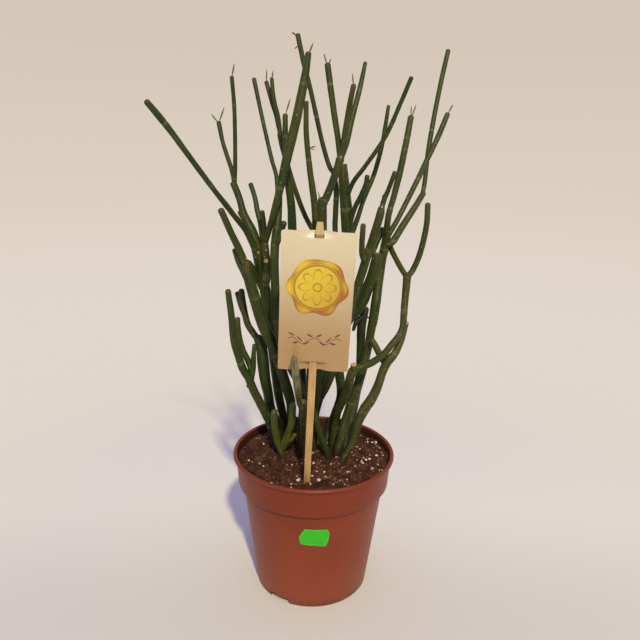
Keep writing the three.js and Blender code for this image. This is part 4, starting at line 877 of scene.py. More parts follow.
def makeStemTree():  # skin round a route: tube, gentle lumps, coordinates for the material
    tree, given, result = newTree("Geometry", "stemTube", {
        "Geometry": ("Geometry", None), "Sides": ("Int", 14), "Lump Scale": ("Float", 150.0),
        "Lump Depth": ("Float", 0.0003), "Skin Material": ("Material", None),
    }, {"Geometry": "Geometry"})
    route = addNode(tree, "GeometryNodeMeshToCurve", {"Mesh": given["Geometry"]})
    radius = addNode(tree, "GeometryNodeInputNamedAttribute", {"Name": "stemRadius"}, data_type="FLOAT")
    section = addNode(tree, "GeometryNodeCurvePrimitiveCircle", {"Radius": 1.0, "Resolution": given["Sides"]})
    spot = addNode(tree, "GeometryNodeInputPosition")
    tagged = addNode(tree, "GeometryNodeStoreNamedAttribute", {
        "Geometry": section.outputs["Curve"], "Name": "round", "Value": spot.outputs[0]}, data_type="FLOAT_VECTOR")
    tube = addNode(tree, "GeometryNodeCurveToMesh", {
        "Curve": route.outputs["Curve"], "Profile Curve": tagged.outputs["Geometry"],
        "Scale": radius.outputs["Attribute"], "Fill Caps": True})
    bumps = addNode(tree, "ShaderNodeTexNoise", {"Detail": 2.0, "Scale": given["Lump Scale"]}).outputs["Fac"]
    depth = times(tree, mathNode(tree, "SUBTRACT", bumps, 0.5), given["Lump Depth"])
    push = scaledNode(tree, addNode(tree, "GeometryNodeInputNormal").outputs["Normal"], depth)
    lumpy = addNode(tree, "GeometryNodeSetPosition", {"Geometry": tube.outputs["Mesh"], "Offset": push})
    smooth = addNode(tree, "GeometryNodeSetShadeSmooth", {"Geometry": lumpy.outputs["Geometry"]})
    endTree(tree, smooth.outputs["Geometry"], given["Skin Material"], result)
    return tree


def endTree(tree, geometry, material, result):  # real faces with their material
    real = addNode(tree, "GeometryNodeRealizeInstances", {"Geometry": geometry}).outputs["Geometry"]
    dressed = addNode(tree, "GeometryNodeSetMaterial", {"Geometry": real, "Material": material})
    putOut(tree, result, Geometry=dressed.outputs["Geometry"])


def setInputs(modifier, **values):  # by socket identifier
    for socket in modifier.node_group.interface.items_tree:
        key = socket.name.replace(" ", "_")
        if socket.in_out == "INPUT" and key in values:
            modifier[socket.identifier] = values[key]


def skinMaterial(node, plant, skinGroup):
    material, tree, surface = newMaterial(node + "_skin", Specular_IOR_Level=0.3)
    values = {key.capitalize(): routeValue(tree, key) for key in ("age", "ring", "tip", "cut", "char", "sheath")}
    around = addNode(tree, "ShaderNodeAttribute", attribute_name="round").outputs["Vector"]
    along = addNode(tree, "ShaderNodeCombineXYZ", {"Z": routeValue(tree, "along")}).outputs[0]
    values["Skin"] = vectorNode(tree, "ADD", scaledNode(tree, around, stemLook["skinWidth"]), along)
    values["Place"] = objectPlace(tree)
    values["Tone"] = plant["tone"]
    for key in ("green", "olive", "dark", "pale", "brown"):
        values[key.capitalize()] = srgb(plant.get(key, stemLook[key]))
    skin = addNode(tree, "ShaderNodeGroup", values, node_tree=skinGroup).outputs
    finishSkin(tree, surface, skin["Color"], skin["Height"], 0.35, 0.0003, skin["Roughness"])
    return material


def leafMaterial():
    material, tree, surface = newMaterial("tipLeaf", Roughness=0.6)
    mottle = mottled(tree, 260.0, 1500.0, 0.3)
    colour = mixColour(tree, mottle["Mix"], stemLook["leafFresh"], stemLook["leafDry"])
    finishSkin(tree, surface, colour, mottle["Grain"], 0.3, 0.0002)
    return material


def addLeaf(shape, foot, point, width, bend):  # a small closed blade, cupped along its midrib
    foot, point = Vector(foot) * mm, Vector(point) * mm
    length = (point - foot).length
    along = (point - foot).normalized()
    side = along.cross(Vector((0.2, -1, 0.1))).normalized()
    up = side.cross(along)
    thick = stemLook["leafThickness"]
    loops = []
    for share, wide in [(0.0, 0.22), (0.12, 0.42), (0.35, 0.85), (0.6, 1.0), (0.82, 0.7), (0.95, 0.3)]:
        middle = foot + along * length * share + up * bend * length * math.sin(share * 2.2)
        half = width * mm * 0.5 * wide
        cup = half * 0.3
        loops.append([shape.verts.new(p) for p in (
            middle - side * half + up * cup,
            middle - up * thick,
            middle + side * half + up * cup,
            middle + up * thick,
        )])
    loops.append([shape.verts.new(foot + along * length + up * bend * length * math.sin(2.2))])
    faces = joinLoops(shape, loops)
    faces.append(shape.faces.new(loops[0][::-1]))
    bmesh.ops.recalc_face_normals(shape, faces=faces)
    for made in faces:
        made.material_index = 1
        made.smooth = True


def makeStem(node, plant, number, tree, skinGroup, leafLook):
    rows = stemRows(plant, random.Random(100 + number))
    material = skinMaterial(node, plant, skinGroup)
    shape = bmesh.new()
    for slim in (False, True):
        chosen = [line for line in rows if line[0]["slim"] == slim]
        if not chosen:
            continue
        part = addPiece(node + "_part", routeMesh(node, chosen))
        skin = part.modifiers.new("skin", "NODES")
        skin.node_group = tree
        setInputs(skin, Sides=stemLook["slimSides" if slim else "sides"],
                  Lump_Scale=stemLook["lumpSize"], Lump_Depth=stemLook["lumpDepth"], Skin_Material=material)
        shape.from_mesh(applyModifiers(part).data)
        bpy.data.objects.remove(part)
    leaves = plant.get("leaves", [])
    for i, (foot, point, width) in enumerate(leaves):
        addLeaf(shape, foot, point, width * stemLook["leafWidth"], 0.12 if i % 2 else -0.1)
    mesh = meshFrom(shape, node + "_grown")
    piece = addPiece(node.replace("stem", "grown"), mesh, material)
    if leaves:
        mesh.materials.append(leafLook)
    bindPiece(piece, plant["slot"], node)
    return len(mesh.polygons)


def growStems():
    tree, skinGroup, leafLook = makeStemTree(), makeSkinGroup(), leafMaterial()
    faceCount = 0
    for number, (node, plant) in enumerate(stems.items()):
        faceCount += makeStem(node, plant, number, tree, skinGroup, leafLook)
    print("stems grown:", len(stems), "with", faceCount, "faces")


growStems()


# pot
potLook = {
    "sectors": 144,
    "brown": "#8b3b1e",
    "deep": "#7f3419",
    "dust": "#a9674a",
    # painted shade: the pot wall darkens towards the collar
    "collar": "#74290f",
    # painted light: the pot wall turns lighter towards the foot
    "foot": "#954a31",
    "grime": "#4a2a1c",
    "inside": "#4e271a",
    "insideDeep": "#2c1710",
    "footRadius": 46.1,  # mm, as are the sizes below
    "taper": 0.125,
    "wall": 1.4,
    "notchPlace": 45.1,
    "notchWidth": 17.6,
    "notchHeight": 3.8,
    "notchAngle": -123,
    "notches": 3,
    "holes": 6,
    "holeRadius": 4,
    "holeRing": 31,
    "sharpFrom": 38,  # degrees
}


def arc(centreR, centreZ, radius, start, end, count):
    points = []
    for i in range(count + 1):
        angle = math.radians(start + (end - start) * i / count)
        points.append((centreR + radius * math.cos(angle), centreZ + radius * math.sin(angle)))
    return points


def wallRadius(z):
    return potLook["footRadius"] + potLook["taper"] * z


def potProfile():  # from the plate's underside round foot, wall, collar and rim bead to its top
    profile = [(0, 4.4), (44.2, 4.4), (44.4, 4.2), (44.4, 0.15), (44.55, 0.0), (45.8, 0.0), (46.1, 0.3)]
    profile += [(wallRadius(z), z) for z in (8, 24, 44, 66, 84)]
    profile += arc(58.3, 89.0, 1.05, 180, 90, 5) + [(59.0, 90.0)] + arc(60.4, 90.7, 0.65, -90, -5, 5)
    profile += [(61.45, 97), (62.0, 104), (62.5, 111.2), (62.62, 111.8)] + arc(63.4, 113.4, 1.6, -104, 190, 22)
    profile += [(61.35, 112.4), (61.1, 111.0), (60.4, 101), (59.75, 92.4), (59.5, 91.7), (59.0, 91.35)]
    profile += [(57.2, 91.3), (56.3, 91.1), (55.9, 90.4)]
    profile += [(wallRadius(z) - potLook["wall"], z) for z in (70, 40, 7.4)]
    return profile + [(45.2, 6.3), (44.4, 5.8), (0, 5.8)]


def potMaterial():
    material, tree, surface = newMaterial("brownPlastic", Specular_IOR_Level=0.32)
    place = objectPlace(tree)
    axes = splitPlace(tree, place)
    mottle = mottled(tree, 22.0, 900.0, 0.3)
    rub = noiseNode(tree, stretchedNode(tree, place, 0.16), 240.0, 5.0, 0.65)
    lowest = rampNode(tree, axes["Z"], 0.0, 0.009, 0.5, 0.0)
    middle = mathNode(tree, "MULTIPLY_ADD", axes["Z"], 0.075, 0.05337)  # radius halfway through the wall
    inside = mathNode(tree, "LESS_THAN", axisDistance(tree, axes), middle)
    inside = times(tree, inside, mathNode(tree, "GREATER_THAN", axes["Z"], 0.09))
    colour = mixColour(tree, mottle["Mix"], potLook["brown"], potLook["deep"])
    layers = [
        # painted shade: the wall darkens upwards towards the collar
        (rampNode(tree, axes["Z"], 0.05, 0.112, 0.0, 0.6), potLook["collar"]),
        # painted light: the wall turns lighter downwards towards the foot
        (rampNode(tree, axes["Z"], 0.0, 0.06, 0.55, 0.0), potLook["foot"]),
        (rampNode(tree, rub, 0.62, 0.76, 0.0, 0.16), potLook["dust"]),
        (times(tree, lowest, rampNode(tree, rub, 0.4, 0.6)), potLook["grime"]),
        (inside, mixColour(tree, rub, potLook["inside"], potLook["insideDeep"])),
    ]
    for mask, above in layers:
        colour = mixColour(tree, mask, colour, above)
    rough = rampNode(tree, mottle["Grain"], 0.2, 0.8, 0.36, 0.46)
    finishSkin(tree, surface, colour, mottle["Grain"], 0.12, 0.0001, rough)
    return material


def cutAway(piece, cutters):  # takes each cutter's space out of the piece
    for cutter in cutters:
        cut = piece.modifiers.new("cut", "BOOLEAN")
        cut.operation = "DIFFERENCE"
        cut.solver = "EXACT"
        cut.object = cutter
    applyModifiers(piece)
    for cutter in cutters:
        bpy.data.objects.remove(cutter)


def notchCutter(turn):
    size = (8, potLook["notchWidth"], 2 * potLook["notchHeight"])
    shape = bmesh.new()
    bmesh.ops.create_cube(shape, size=1.0)
    bmesh.ops.scale(shape, vec=[s * mm for s in size], verts=shape.verts)
    bmesh.ops.translate(shape, vec=(potLook["notchPlace"] * mm, 0, 0), verts=shape.verts)
    bmesh.ops.rotate(shape, cent=(0, 0, 0), matrix=Matrix.Rotation(turn, 3, "Z"), verts=shape.verts)
    return addPiece("cutter", meshFrom(shape, "cutter"))


def holeCutter(turn):
    radius = potLook["holeRadius"]
    mesh = turnedMesh("cutter", [(0, 3), (radius, 3), (radius, 7), (0, 7)], 32)
    mesh.transform(Matrix.Rotation(turn, 4, "Z") @ Matrix.Translation((potLook["holeRing"] * mm, 0, 0)))
    return addPiece("cutter", mesh)


def makePot():
    piece = addPiece("nursery_pot", turnedMesh("nursery_pot", potProfile(), potLook["sectors"]), potMaterial())
    notches, holes = potLook["notches"], potLook["holes"]
    cutters = [notchCutter(math.radians(potLook["notchAngle"] + 360 // notches * i)) for i in range(notches)]
    cutters += [holeCutter(math.tau * i / holes) for i in range(holes)]
    cutAway(piece, cutters)
    smoothPiece(piece, potLook["sharpFrom"])
    bindPiece(piece, "pot_plastic", "pot")
    print("pot turned")


makePot()


# soil with perlite
soilLook = {
    "surface": 110.3,
    "rings": 74,
    "sectors": 220,
    "seed": 7,
    "roll": 1.1,
    "clods": 0.9,
    "edgeDrop": 0.8,
    "strewAbove": 0.1078,  # loose grains lie above this height and within this radius, m
    "strewWithin": 0.0588,
    "dark": "#22120a",
    "warm": "#5b3523",
    "crumbDark": "#1a0d07",
    "crumbWarm": "#8a5636",
    "fibreDark": "#6e4229",
    "fibrePale": "#b98a60",
    "white": "#e9ddd0",
    "whiteDeep": "#b3957b",
    # loose grains: Density per square metre, sizes in metres
    "crumbs": {"Density": 186000.0, "Smallest": 0.0003, "Largest": 0.0012, "Roughness": 1.0, "Detail": 1},
    "fibres": {"Density": 60000.0, "Smallest": 0.00022, "Largest": 0.00042, "Roughness": 1.0, "Detail": 1,
               "Stretch": 5.0},
    "perlite": {"Density": 17100.0, "Smallest": 0.0003, "Largest": 0.0012, "Roughness": 0.8, "Detail": 2,
                "Side_Share": 9.0},
    # larger white grains on top: x, y, size in mm
    "bigGrains": [
        (-11, -42, 3), (4.5, -41.5, 2.8), (15, -47, 2), (-1.5, -1.5, 2.6), (0, -14, 2), (53, 24, 2.6),
        (49.5, 20.5, 1.8), (42, -10.5, 2.8), (38.5, -13, 2.2), (45, -6.5, 2), (40.5, -4, 1.6), (27, -30, 2.2),
        (46, -23.5, 2), (-51.5, -12.5, 1.6), (-31.5, -45, 1.7), (-16, -52.5, 1.5), (2.5, -29.5, 1.6),
        (33, -18, 1.8), (51, -17.5, 1.8), (51.5, 1.5, 2.4), (36.5, 15, 1.6), (-41, 28.5, 1.6), (-42, 14.5, 1.8),
        (9.5, -34, 1.5), (20.5, -39.5, 1.4), (56.5, -1.5, 1.6), (55, 12.5, 1.4),
    ],
}


def soilHeight(x, y):  # mm, the same roll as the solid, with clods over it
    coarse = math.sin(0.21 * x + 1.3) * math.cos(0.17 * y - 0.4)
    fine = math.sin(0.53 * x - 0.31 * y + 2.1) * 0.5
    edge = max(0.0, (math.hypot(x, y) - 50) / 10) ** 2
    clods = noise.noise(Vector((x * 0.33, y * 0.33, 3.1))) * soilLook["clods"]
    clods += noise.noise(Vector((x, y, 7.7)) * 0.9) * 0.5
    rough = abs(noise.noise(Vector((x, y, 1.2)) * 0.62)) * soilLook["clods"]
    roll = soilLook["surface"] + soilLook["roll"] * (coarse + fine) - soilLook["edgeDrop"] * edge
    return roll + clods + rough - 0.5


def soilMesh():
    surface, rings = soilLook["surface"], soilLook["rings"]
    body = [(0, 6.1), (44.3, 6.1), (45.3, 7.6), (55.4, 90.6), (56.2, 91.8), (58.9, 91.8), (59.4, 92.6), (60.8, 108.4)]
    top = [(60.9 - 60.9 * (i / rings), surface) for i in range(rings)] + [(0, surface)]
    mesh = turnedMesh("soil_body", body + top, soilLook["sectors"])
    for vertex in mesh.vertices:
        if vertex.co.z > (surface - 0.05) * mm:
            vertex.co.z = soilHeight(vertex.co.x / mm, vertex.co.y / mm) * mm
    return mesh


def soilMaterial(name, bumpDepth, dark, warm):
    material, tree, surface = newMaterial(name, Roughness=0.95, Specular_IOR_Level=0.2)
    mottle = mottled(tree, 120.0, 1500.0, 0.45)
    finishSkin(tree, surface, mixColour(tree, mottle["Mix"], dark, warm), mottle["Grain"], 0.8, bumpDepth)
    return material


def perliteMaterial():
    material, tree, surface = newMaterial("perlite", Roughness=0.85)
    mottle = mottled(tree, 300.0, 2200.0, 0.4)
    share = rampNode(tree, mottle["Mix"], 0.1, 0.8)
    colour = mixColour(tree, share, soilLook["whiteDeep"], soilLook["white"])
    finishSkin(tree, surface, colour, mottle["Grain"], 0.5, 0.0003)
    return material


def makeScatterTree():  # rough little stones strewn over the top of a surface
    sizes = {"Density": 1000.0, "Smallest": 0.0005, "Largest": 0.001, "Roughness": 0.5, "Side Share": 0.0,
             "Stretch": 1.0}
    tree, given, result = newTree("Geometry", "strewGrains", {
        "Geometry": ("Geometry", None), **{name: ("Float", value) for name, value in sizes.items()},
        "Seed": ("Int", 1), "Detail": ("Int", 1), "Grain Material": ("Material", None),
    }, {"Geometry": "Geometry"})
    spot = addNode(tree, "GeometryNodeInputPosition").outputs[0]
    axes = splitPlace(tree, spot)
    isTop = mathNode(tree, "GREATER_THAN", axes["Z"], soilLook["strewAbove"])
    inside = mathNode(tree, "LESS_THAN", axisDistance(tree, axes), soilLook["strewWithin"])
    patchy = rampNode(tree, noiseNode(tree, spot, 45.0, 2.0), 0.35, 0.65, 0.25, 1.3)
    thick = mathNode(tree, "ADD", patchy, times(tree, axes["X"], given["Side Share"]))
    density = times(tree, mathNode(tree, "MAXIMUM", thick, 0.08), given["Density"])
    strewn = addNode(tree, "GeometryNodeDistributePointsOnFaces", {
        "Mesh": given["Geometry"], "Selection": times(tree, isTop, inside), "Density": density,
        "Seed": given["Seed"]})
    stone = addNode(tree, "GeometryNodeMeshIcoSphere", {"Radius": 1.0, "Subdivisions": given["Detail"]})

    def randomNode(low, high):
        return addNode(tree, "FunctionNodeRandomValue", {0: low, 1: high}, data_type="FLOAT_VECTOR").outputs["Value"]

    size = addNode(tree, "FunctionNodeRandomValue", {
        "Seed": given["Seed"], 2: given["Smallest"], 3: given["Largest"]}, data_type="FLOAT")
    longer = addNode(tree, "ShaderNodeCombineXYZ", {"X": given["Stretch"], "Y": 1.0, "Z": 1.0}).outputs[0]
    shaped = vectorNode(tree, "MULTIPLY", randomNode((0.55, 0.5, 0.4), (1.15, 1.0, 0.8)), longer)
    placed = addNode(tree, "GeometryNodeInstanceOnPoints", {
        "Points": strewn.outputs["Points"], "Instance": stone.outputs["Mesh"],
        "Rotation": randomNode((0, 0, 0), (6.28, 6.28, 6.28)),
        "Scale": scaledNode(tree, shaped, size.outputs[1])})
    real = addNode(tree, "GeometryNodeRealizeInstances", {"Geometry": placed.outputs["Instances"]})
    bumps = addNode(tree, "ShaderNodeTexNoise", {"Scale": 900.0, "Detail": 1.0}).outputs["Color"]
    push = scaledNode(tree, vectorNode(tree, "SUBTRACT", bumps, (0.5, 0.5, 0.5)),
                      times(tree, given["Largest"], given["Roughness"]))
    chipped = addNode(tree, "GeometryNodeSetPosition", {"Geometry": real.outputs["Geometry"], "Offset": push})
    endTree(tree, chipped.outputs["Geometry"], given["Grain Material"], result)
    return tree


def strew(name, ground, tree, material, seed, sizes):
    piece = addPiece(name, ground.data.copy())
    piece.data.materials.clear()
    grains = piece.modifiers.new("grains", "NODES")
    grains.node_group = tree
    setInputs(grains, Grain_Material=material, Seed=seed, **sizes)
    bindPiece(applyModifiers(piece), "potting_soil")


def placeBigGrains(material):
    rng = random.Random(11)
    shape = bmesh.new()
    for x, y, size in soilLook["bigGrains"]:
        made = bmesh.ops.create_icosphere(shape, subdivisions=2, radius=0.5 * size * mm)["verts"]
        stretch = (rng.uniform(0.9, 1.3), rng.uniform(0.75, 1.05), rng.uniform(0.65, 0.9))
        bmesh.ops.scale(shape, vec=stretch, verts=made)
        spot = Vector((x, y, soilHeight(x, y) + 0.22 * size)) * mm
        for vertex in made:
            push = noise.noise((vertex.co + spot) * 700.0)
            vertex.co = vertex.co * (1 + 0.55 * push) + spot
    bindPiece(addPiece("perlite_lumps", meshFrom(shape, "perlite_lumps"), material), "potting_soil")


def makeSoil():
    look, seed = soilLook, soilLook["seed"]
    ground = addPiece("soil_body", soilMesh(), soilMaterial("pottingSoil", 0.0008, look["dark"], look["warm"]))
    tree, white = makeScatterTree(), perliteMaterial()
    crumb = soilMaterial("soilCrumb", 0.0005, look["crumbDark"], look["crumbWarm"])
    fibre = soilMaterial("soilFibre", 0.0003, look["fibreDark"], look["fibrePale"])
    strew("soil_crumbs", ground, tree, crumb, seed, look["crumbs"])
    strew("soil_fibres", ground, tree, fibre, seed + 2, look["fibres"])
    strew("perlite_grains", ground, tree, white, seed + 4, look["perlite"])
    placeBigGrains(white)
    bindPiece(ground, "potting_soil", "soil")
    print("soil filled in")


makeSoil()


# stick and card
tag = {  # sizes in mm, angles in degrees
    "lean": 8.0,
    "tilt": 1.67,
    "foot": (-4.7, -44.5, 108.4),
    "stickThickness": 1.3,
    "stickEase": 0.28,
    "stickWidths": [  # height along the stick and half its width there
        (-60, 0.8), (-48, 2.4), (10, 2.4), (50, 2.52), (90, 2.65), (150, 2.65), (190, 2.65),
        (196.1, 2.62), (199, 2.35), (201, 2.1), (202.1, 1.9), (202.4, 1.75),
    ],
    "woodDark": "#ac7e49",
    "woodPale": "#cba671",
    "woodBand": "#d8ba8c",
    "woodTop": "#cfc293",
    # painted shadow on the stick where it goes into the card's upper slot
    "slotShadow": "#6d4620",
    "damp": "#8a5f3a",
    "cardWidth": 48.0,
    "cardHeight": 98.5,
    "cardBottom": 98.2,
    "cardThickness": 0.6,
    "corner": 1.5,
    "slotHalf": 3.1,
    "slotHeight": 2.7,
    "lowerSlotTop": 6.8,
    "upperSlotBottom": 94.1,
    "gap": 0.3,
    "bend": (4, 12),  # beside the stick, where the card bends back to its plane
    "gridStep": (1.2, 1.3),
    "bevel": 0.12,
    "sharpFrom": 50,
    "cream": "#dccfaf",
    "tan": "#b08d60",
    "gold": "#dec02c",
    "goldLine": "#8a5a14",
    "amber": "#a4620f",
    "ink": "#5e3d1c",
    "sealCentre": (0.4, 61.0),
    "sealRadius": 21.0,
}


def tagMatrix():
    turn = Matrix.Rotation(math.radians(tag["tilt"]), 4, "Y") @ Matrix.Rotation(math.radians(tag["lean"]), 4, "X")
    return Matrix.Translation(Vector(tag["foot"]) * mm) @ turn


def tagPlace(tree):  # Object coordinates turned into the tag's own frame, in metres
    back = tagMatrix().inverted()
    inputs = {"Vector": objectPlace(tree), "Location": back.to_translation(), "Rotation": back.to_euler("XYZ")}
    return addNode(tree, "ShaderNodeMapping", inputs).outputs["Vector"]


def stickMaterial():
    material, tree, surface = newMaterial("paleWood", Specular_IOR_Level=0.35)
    place = tagPlace(tree)
    height = splitPlace(tree, place)["Z"]
    grain = noiseNode(tree, stretchedNode(tree, place, 0.03), 1500.0, 4.0, 0.6)
    upperSlot = (tag["cardBottom"] + tag["upperSlotBottom"] + 0.6) * mm
    colour = mixColour(tree, rampNode(tree, grain, 0.3, 0.7), tag["woodDark"], tag["woodPale"])
    layers = [
        (rampNode(tree, noiseNode(tree, place, 45.0, 2.0), 0.4, 0.7, 0.0, 0.35), tag["woodBand"]),
        (rampNode(tree, height, 0.17, 0.196, 0.0, 0.45), tag["woodTop"]),
        # painted shadow: a brown band across the stick at the card's upper slot
        (rampNode(tree, offBy(tree, height, upperSlot), 0.0008, 0.0022, 0.6, 0.0), tag["slotShadow"]),
        (rampNode(tree, height, -0.002, 0.012, 0.6, 0.0), tag["damp"]),
    ]
    for mask, above in layers:
        colour = mixColour(tree, mask, colour, above)
    finishSkin(tree, surface, colour, grain, 0.3, 0.0002, rampNode(tree, grain, 0.3, 0.7, 0.55, 0.75))
    return material


def makeStick():
    half, ease = tag["stickThickness"] / 2, tag["stickEase"]
    shape = bmesh.new()
    loops = []
    for z, wide in tag["stickWidths"]:
        deep = half if z < 202 else half - tag["bevel"]
        corners = [(wide - ease, -deep), (wide, -deep + ease), (wide, deep - ease), (wide - ease, deep)]
        ring = corners + [(-x, y) for x, y in reversed(corners)]
        loops.append([shape.verts.new((x * mm, y * mm, z * mm)) for x, y in ring])
    joinLoops(shape, loops)
    shape.faces.new(loops[0][::-1])
    shape.faces.new(loops[-1])
    bmesh.ops.recalc_face_normals(shape, faces=shape.faces)
    shape.transform(tagMatrix())
    piece = addPiece("wooden_stick", meshFrom(shape, "wooden_stick"), stickMaterial())
    bevel = piece.modifiers.new("ease", "BEVEL")
    bevel.width = tag["bevel"] * mm
    bevel.segments = 2
    smoothPiece(applyModifiers(piece))
    bindPiece(piece, "tag_wood", "tag_stick")


def smoothShare(value, low, high):
    t = min(1.0, max(0.0, (value - low) / (high - low)))
    return t * t * (3 - 2 * t)


def cardForward(x, z):  # mm before the stick's middle
    beside = 1 - smoothShare(abs(x), *tag["bend"])
    below = min(1.0, max(0.0, (z - tag["lowerSlotTop"] + tag["slotHeight"]) / tag["slotHeight"]))
    above = min(1.0, max(0.0, (tag["upperSlotBottom"] + tag["slotHeight"] - z) / tag["slotHeight"]))
    side = 2 * min(below, above) - 1
    return (tag["stickThickness"] / 2 + tag["gap"] + tag["cardThickness"] / 2) * (1 - beside * (1 - side))


def spread(stops, step):  # stops with even steps of at most that size between them
    values = [stops[0]]
    for low, high in zip(stops, stops[1:]):
        count = max(1, math.ceil((high - low) / step - 1e-6))
        values += [low + (high - low) * i / count for i in range(1, count + 1)]
    return values


def roundCorner(x, z, half, corner, height):  # draws a grid point in onto the card's rounded corner
    nearX = max(0.0, abs(x) - (half - corner))
    nearZ = max(0.0, corner - z, z - (height - corner))
    away = math.hypot(nearX, nearZ)
    if not (nearX and nearZ and away > corner):
        return x, z
    inward = nearZ * corner / away
    return (math.copysign(half - corner + nearX * corner / away, x),
            (corner - inward) if z < height / 2 else (height - corner + inward))


def makeCard():
    half, corner, height, slotHalf = tag["cardWidth"] / 2, tag["corner"], tag["cardHeight"], tag["slotHalf"]
    low, high = tag["lowerSlotTop"] - tag["slotHeight"], tag["upperSlotBottom"] + tag["slotHeight"]
    acrossStep, upStep = tag["gridStep"]
    columns = spread([-half, -half + corner, -slotHalf, slotHalf, half - corner, half], acrossStep)
    rows = spread([0, corner, low, tag["lowerSlotTop"], tag["upperSlotBottom"], high, height], upStep)
    shape = bmesh.new()
    grid = []
    for z in rows:
        spots = [roundCorner(x, z, half, corner, height) for x in columns]
        grid.append([shape.verts.new((u * mm, -cardForward(u, w) * mm, (w + tag["cardBottom"]) * mm))
                     for u, w in spots])
    for j in range(len(rows) - 1):
        for i in range(len(columns) - 1):
            x, z = (columns[i] + columns[i + 1]) / 2, (rows[j] + rows[j + 1]) / 2
            inSlot = low < z < tag["lowerSlotTop"] or tag["upperSlotBottom"] < z < high
            if not (abs(x) < slotHalf and inSlot):
                shape.faces.new((grid[j][i], grid[j][i + 1], grid[j + 1][i + 1], grid[j + 1][i]))
    loose = [v for v in shape.verts if not v.link_faces]
    bmesh.ops.delete(shape, geom=loose, context="VERTS")
    shape.transform(tagMatrix())
    piece = addPiece("printed_card", meshFrom(shape, "printed_card"), cardMaterial("printedCard", True))
    piece.data.materials.append(cardMaterial("plainCard", False))
    thicken(piece, tag["cardThickness"], material_offset=1, material_offset_rim=1)
    smoothPiece(piece, tag["sharpFrom"])
    bindPiece(piece, "card", "care_card")


def makeSealGroup():  # a golden rosette: scalloped disc, ring and eight leaves
    tree, given, result = newTree(
        "Shader", "goldRosette", {"X": ("Float", 0.0), "Z": ("Float", 0.0), "Radius": ("Float", 21.0)},
        {"Disc": "Float", "Shade": "Float", "Lines": "Float", "Height": "Float"})
    calc = partial(mathNode, tree)
    x, z, radius = given["X"], given["Z"], given["Radius"]
    share = calc("DIVIDE", calc("SQRT", calc("ADD", times(tree, x, x), times(tree, z, z))), radius)
    angle = calc("ARCTAN2", z, x)

    def wave(count, phase, depth, base):
        return calc("MULTIPLY_ADD", calc("COSINE", calc("MULTIPLY_ADD", angle, count, phase)), depth, base)

    def ringAt(middle, inner, outer, strength=1.0):
        return rampNode(tree, offBy(tree, share, middle), inner, outer, strength, 0.0)

    edge = calc("ADD", wave(6.0, 0.5, 0.05, 0.93), wave(7.0, 2.1, 0.025, 0.0))
    disc = rampNode(tree, calc("SUBTRACT", share, edge), -0.01, 0.01, 1.0, 0.0)
    petal = calc("POWER", calc("ABSOLUTE", calc("COSINE", times(tree, angle, 4.0))), 0.6)
    leafLine = ringAt(calc("MULTIPLY_ADD", petal, 0.36, 0.22), 0.012, 0.035)
    lines = calc("MAXIMUM", calc("MAXIMUM", ringAt(0.72, 0.02, 0.045), leafLine), ringAt(0.13, 0.012, 0.03))
    slope = calc("DIVIDE", calc("SUBTRACT", z, x), radius)
    brim = rampNode(tree, calc("SUBTRACT", edge, share), 0.0, 0.1, 1.0, 0.0)
    fold = times(tree, rampNode(tree, share, 0.74, 0.8), wave(6.0, 2.4, 0.3, 0.3))
    warmth = calc("ADD", times(tree, brim, 0.5), calc("ADD", fold, ringAt(0.79, 0.0, 0.05, 0.4)))
    putOut(tree, result, Disc=disc, Lines=lines, Height=calc("SUBTRACT", disc, times(tree, lines, 0.6)),
           Shade=calc("MULTIPLY_ADD", slope, -0.3, calc("ADD", warmth, 0.12)))
    return tree


def sprigMask(tree, x, z):  # a small symmetric leaf flourish below the rosette
    calc = partial(mathNode, tree)
    side = calc("ABSOLUTE", x)
    wave = calc("MULTIPLY_ADD", calc("COSINE", times(tree, side, 0.42)), 2.2, 22.5)
    twig = rampNode(tree, offBy(tree, z, wave), 0.14, 0.38, 1.0, 0.0)
    mask = times(tree, twig, calc("LESS_THAN", side, 18.0))
    leaves = [(3.0, 26.4, 0.5), (5.4, 20.6, -0.6), (9.8, 23.6, 0.9), (12.6, 20.8, -0.2), (15.4, 27.0, 0.6)]
    for leafX, leafZ, slope in leaves:
        dx = calc("SUBTRACT", side, leafX)
        dz = calc("SUBTRACT", calc("MULTIPLY_ADD", dx, -slope, z), leafZ)
        oval = calc("ADD", calc("POWER", calc("DIVIDE", dx, 2.0), 2.0), calc("POWER", calc("DIVIDE", dz, 0.7), 2.0))
        mask = calc("MAXIMUM", mask, rampNode(tree, oval, 0.8, 1.15, 1.0, 0.0))
    return mask


def cardMaterial(name, isPrinted):
    material, tree, surface = newMaterial(name, Roughness=0.24, Coat_Weight=0.35, Coat_Roughness=0.12)
    place = tagPlace(tree)
    axes = splitPlace(tree, place)
    x = times(tree, axes["X"], 1000.0)
    z = mathNode(tree, "MULTIPLY_ADD", axes["Z"], 1000.0, -tag["cardBottom"])
    cloud = noiseNode(tree, place, 22.0, 4.0, 0.6)
    fade = rampNode(tree, mathNode(tree, "MULTIPLY_ADD", cloud, 26.0, z), 24.0, 118.0)
    colour = mixColour(tree, fade, tag["tan"], tag["cream"])
    if not isPrinted:
        finishSkin(tree, surface, colour, cloud, 0.1, 0.0003)
        return material
    centreX, centreZ = tag["sealCentre"]
    seal = addNode(tree, "ShaderNodeGroup", {
        "X": mathNode(tree, "SUBTRACT", x, centreX), "Z": mathNode(tree, "SUBTRACT", z, centreZ),
        "Radius": tag["sealRadius"]}, node_tree=makeSealGroup()).outputs
    gold = mixColour(tree, seal["Shade"], tag["gold"], tag["amber"])
    gold = mixColour(tree, times(tree, seal["Lines"], 0.7), gold, tag["goldLine"])
    colour = mixColour(tree, seal["Disc"], colour, gold)
    colour = mixColour(tree, sprigMask(tree, x, z), colour, tag["ink"])
    finishSkin(tree, surface, colour, seal["Height"], 0.25, 0.0003)
    return material


makeStick()
makeCard()
print("stick and card made")


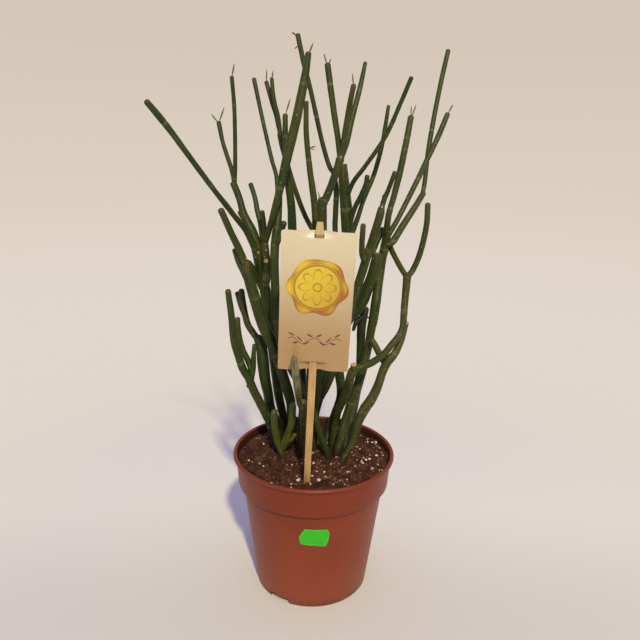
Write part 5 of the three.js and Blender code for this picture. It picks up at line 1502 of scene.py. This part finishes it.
# price label
labelLook = {
    "outline": [(-8, 63.1), (10.7, 61.4), (12.4, 66.5), (13.1, 71.9), (12.6, 74.6), (11.4, 76.9), (-5.5, 77.2),
                (-8.0, 73.2), (-9.7, 69.1), (-9.2, 66.0)],
    "standOff": 0.27,
    "thickness": 0.3,
    "gridStep": (1.2, 1.3),
    "sharpFrom": 50,
    "green": "#2abe06",
    "deep": "#1fa304",
    "edge": "#7fd864",
}


def labelMaterial():
    material, tree, surface = newMaterial("greenLabel", Roughness=0.42)
    mottle = mottled(tree, 180.0, 2600.0, 0.35)
    blot = rampNode(tree, mottle["Mix"], 0.3, 0.9, 0.0, 0.35)
    worn = times(tree, routeValue(tree, "rim"), rampNode(tree, mottle["Grain"], 0.35, 0.6))
    colour = mixColour(tree, blot, labelLook["green"], labelLook["deep"])
    colour = mixColour(tree, worn, colour, labelLook["edge"])
    finishSkin(tree, surface, colour, mottle["Patches"], 0.2, 0.0002)
    return material


def makeLabel():
    shape = bmesh.new()
    shape.faces.new([shape.verts.new((x, 0, z)) for x, z in labelLook["outline"]])
    acrossStep, upStep = labelLook["gridStep"]
    cuts = [((-10 + i * acrossStep, 0, 0), (1, 0, 0)) for i in range(1, 20)]
    cuts += [((0, 0, 61 + i * upStep), (0, 0, 1)) for i in range(1, 13)]
    for place, across in cuts:
        bmesh.ops.bisect_plane(shape, geom=shape.verts[:] + shape.edges[:] + shape.faces[:],
                               plane_co=place, plane_no=across)
    rims = [1.0 if vertex.is_boundary else 0.0 for vertex in shape.verts]
    for vertex in shape.verts:
        x, z = vertex.co.x, vertex.co.z
        reach = wallRadius(z) + labelLook["standOff"] + labelLook["thickness"] / 2
        angle = math.asin(x / reach)
        vertex.co = Vector((reach * math.sin(angle), -reach * math.cos(angle), z)) * mm
    mesh = meshFrom(shape, "price_label")
    mesh.attributes.new("rim", "FLOAT", "POINT").data.foreach_set("value", rims)
    piece = addPiece("price_label", mesh, labelMaterial())
    thicken(piece, labelLook["thickness"])
    smoothPiece(piece, labelLook["sharpFrom"])
    bindPiece(piece, "sticker", "price_sticker")
    print("label laid on")


makeLabel()
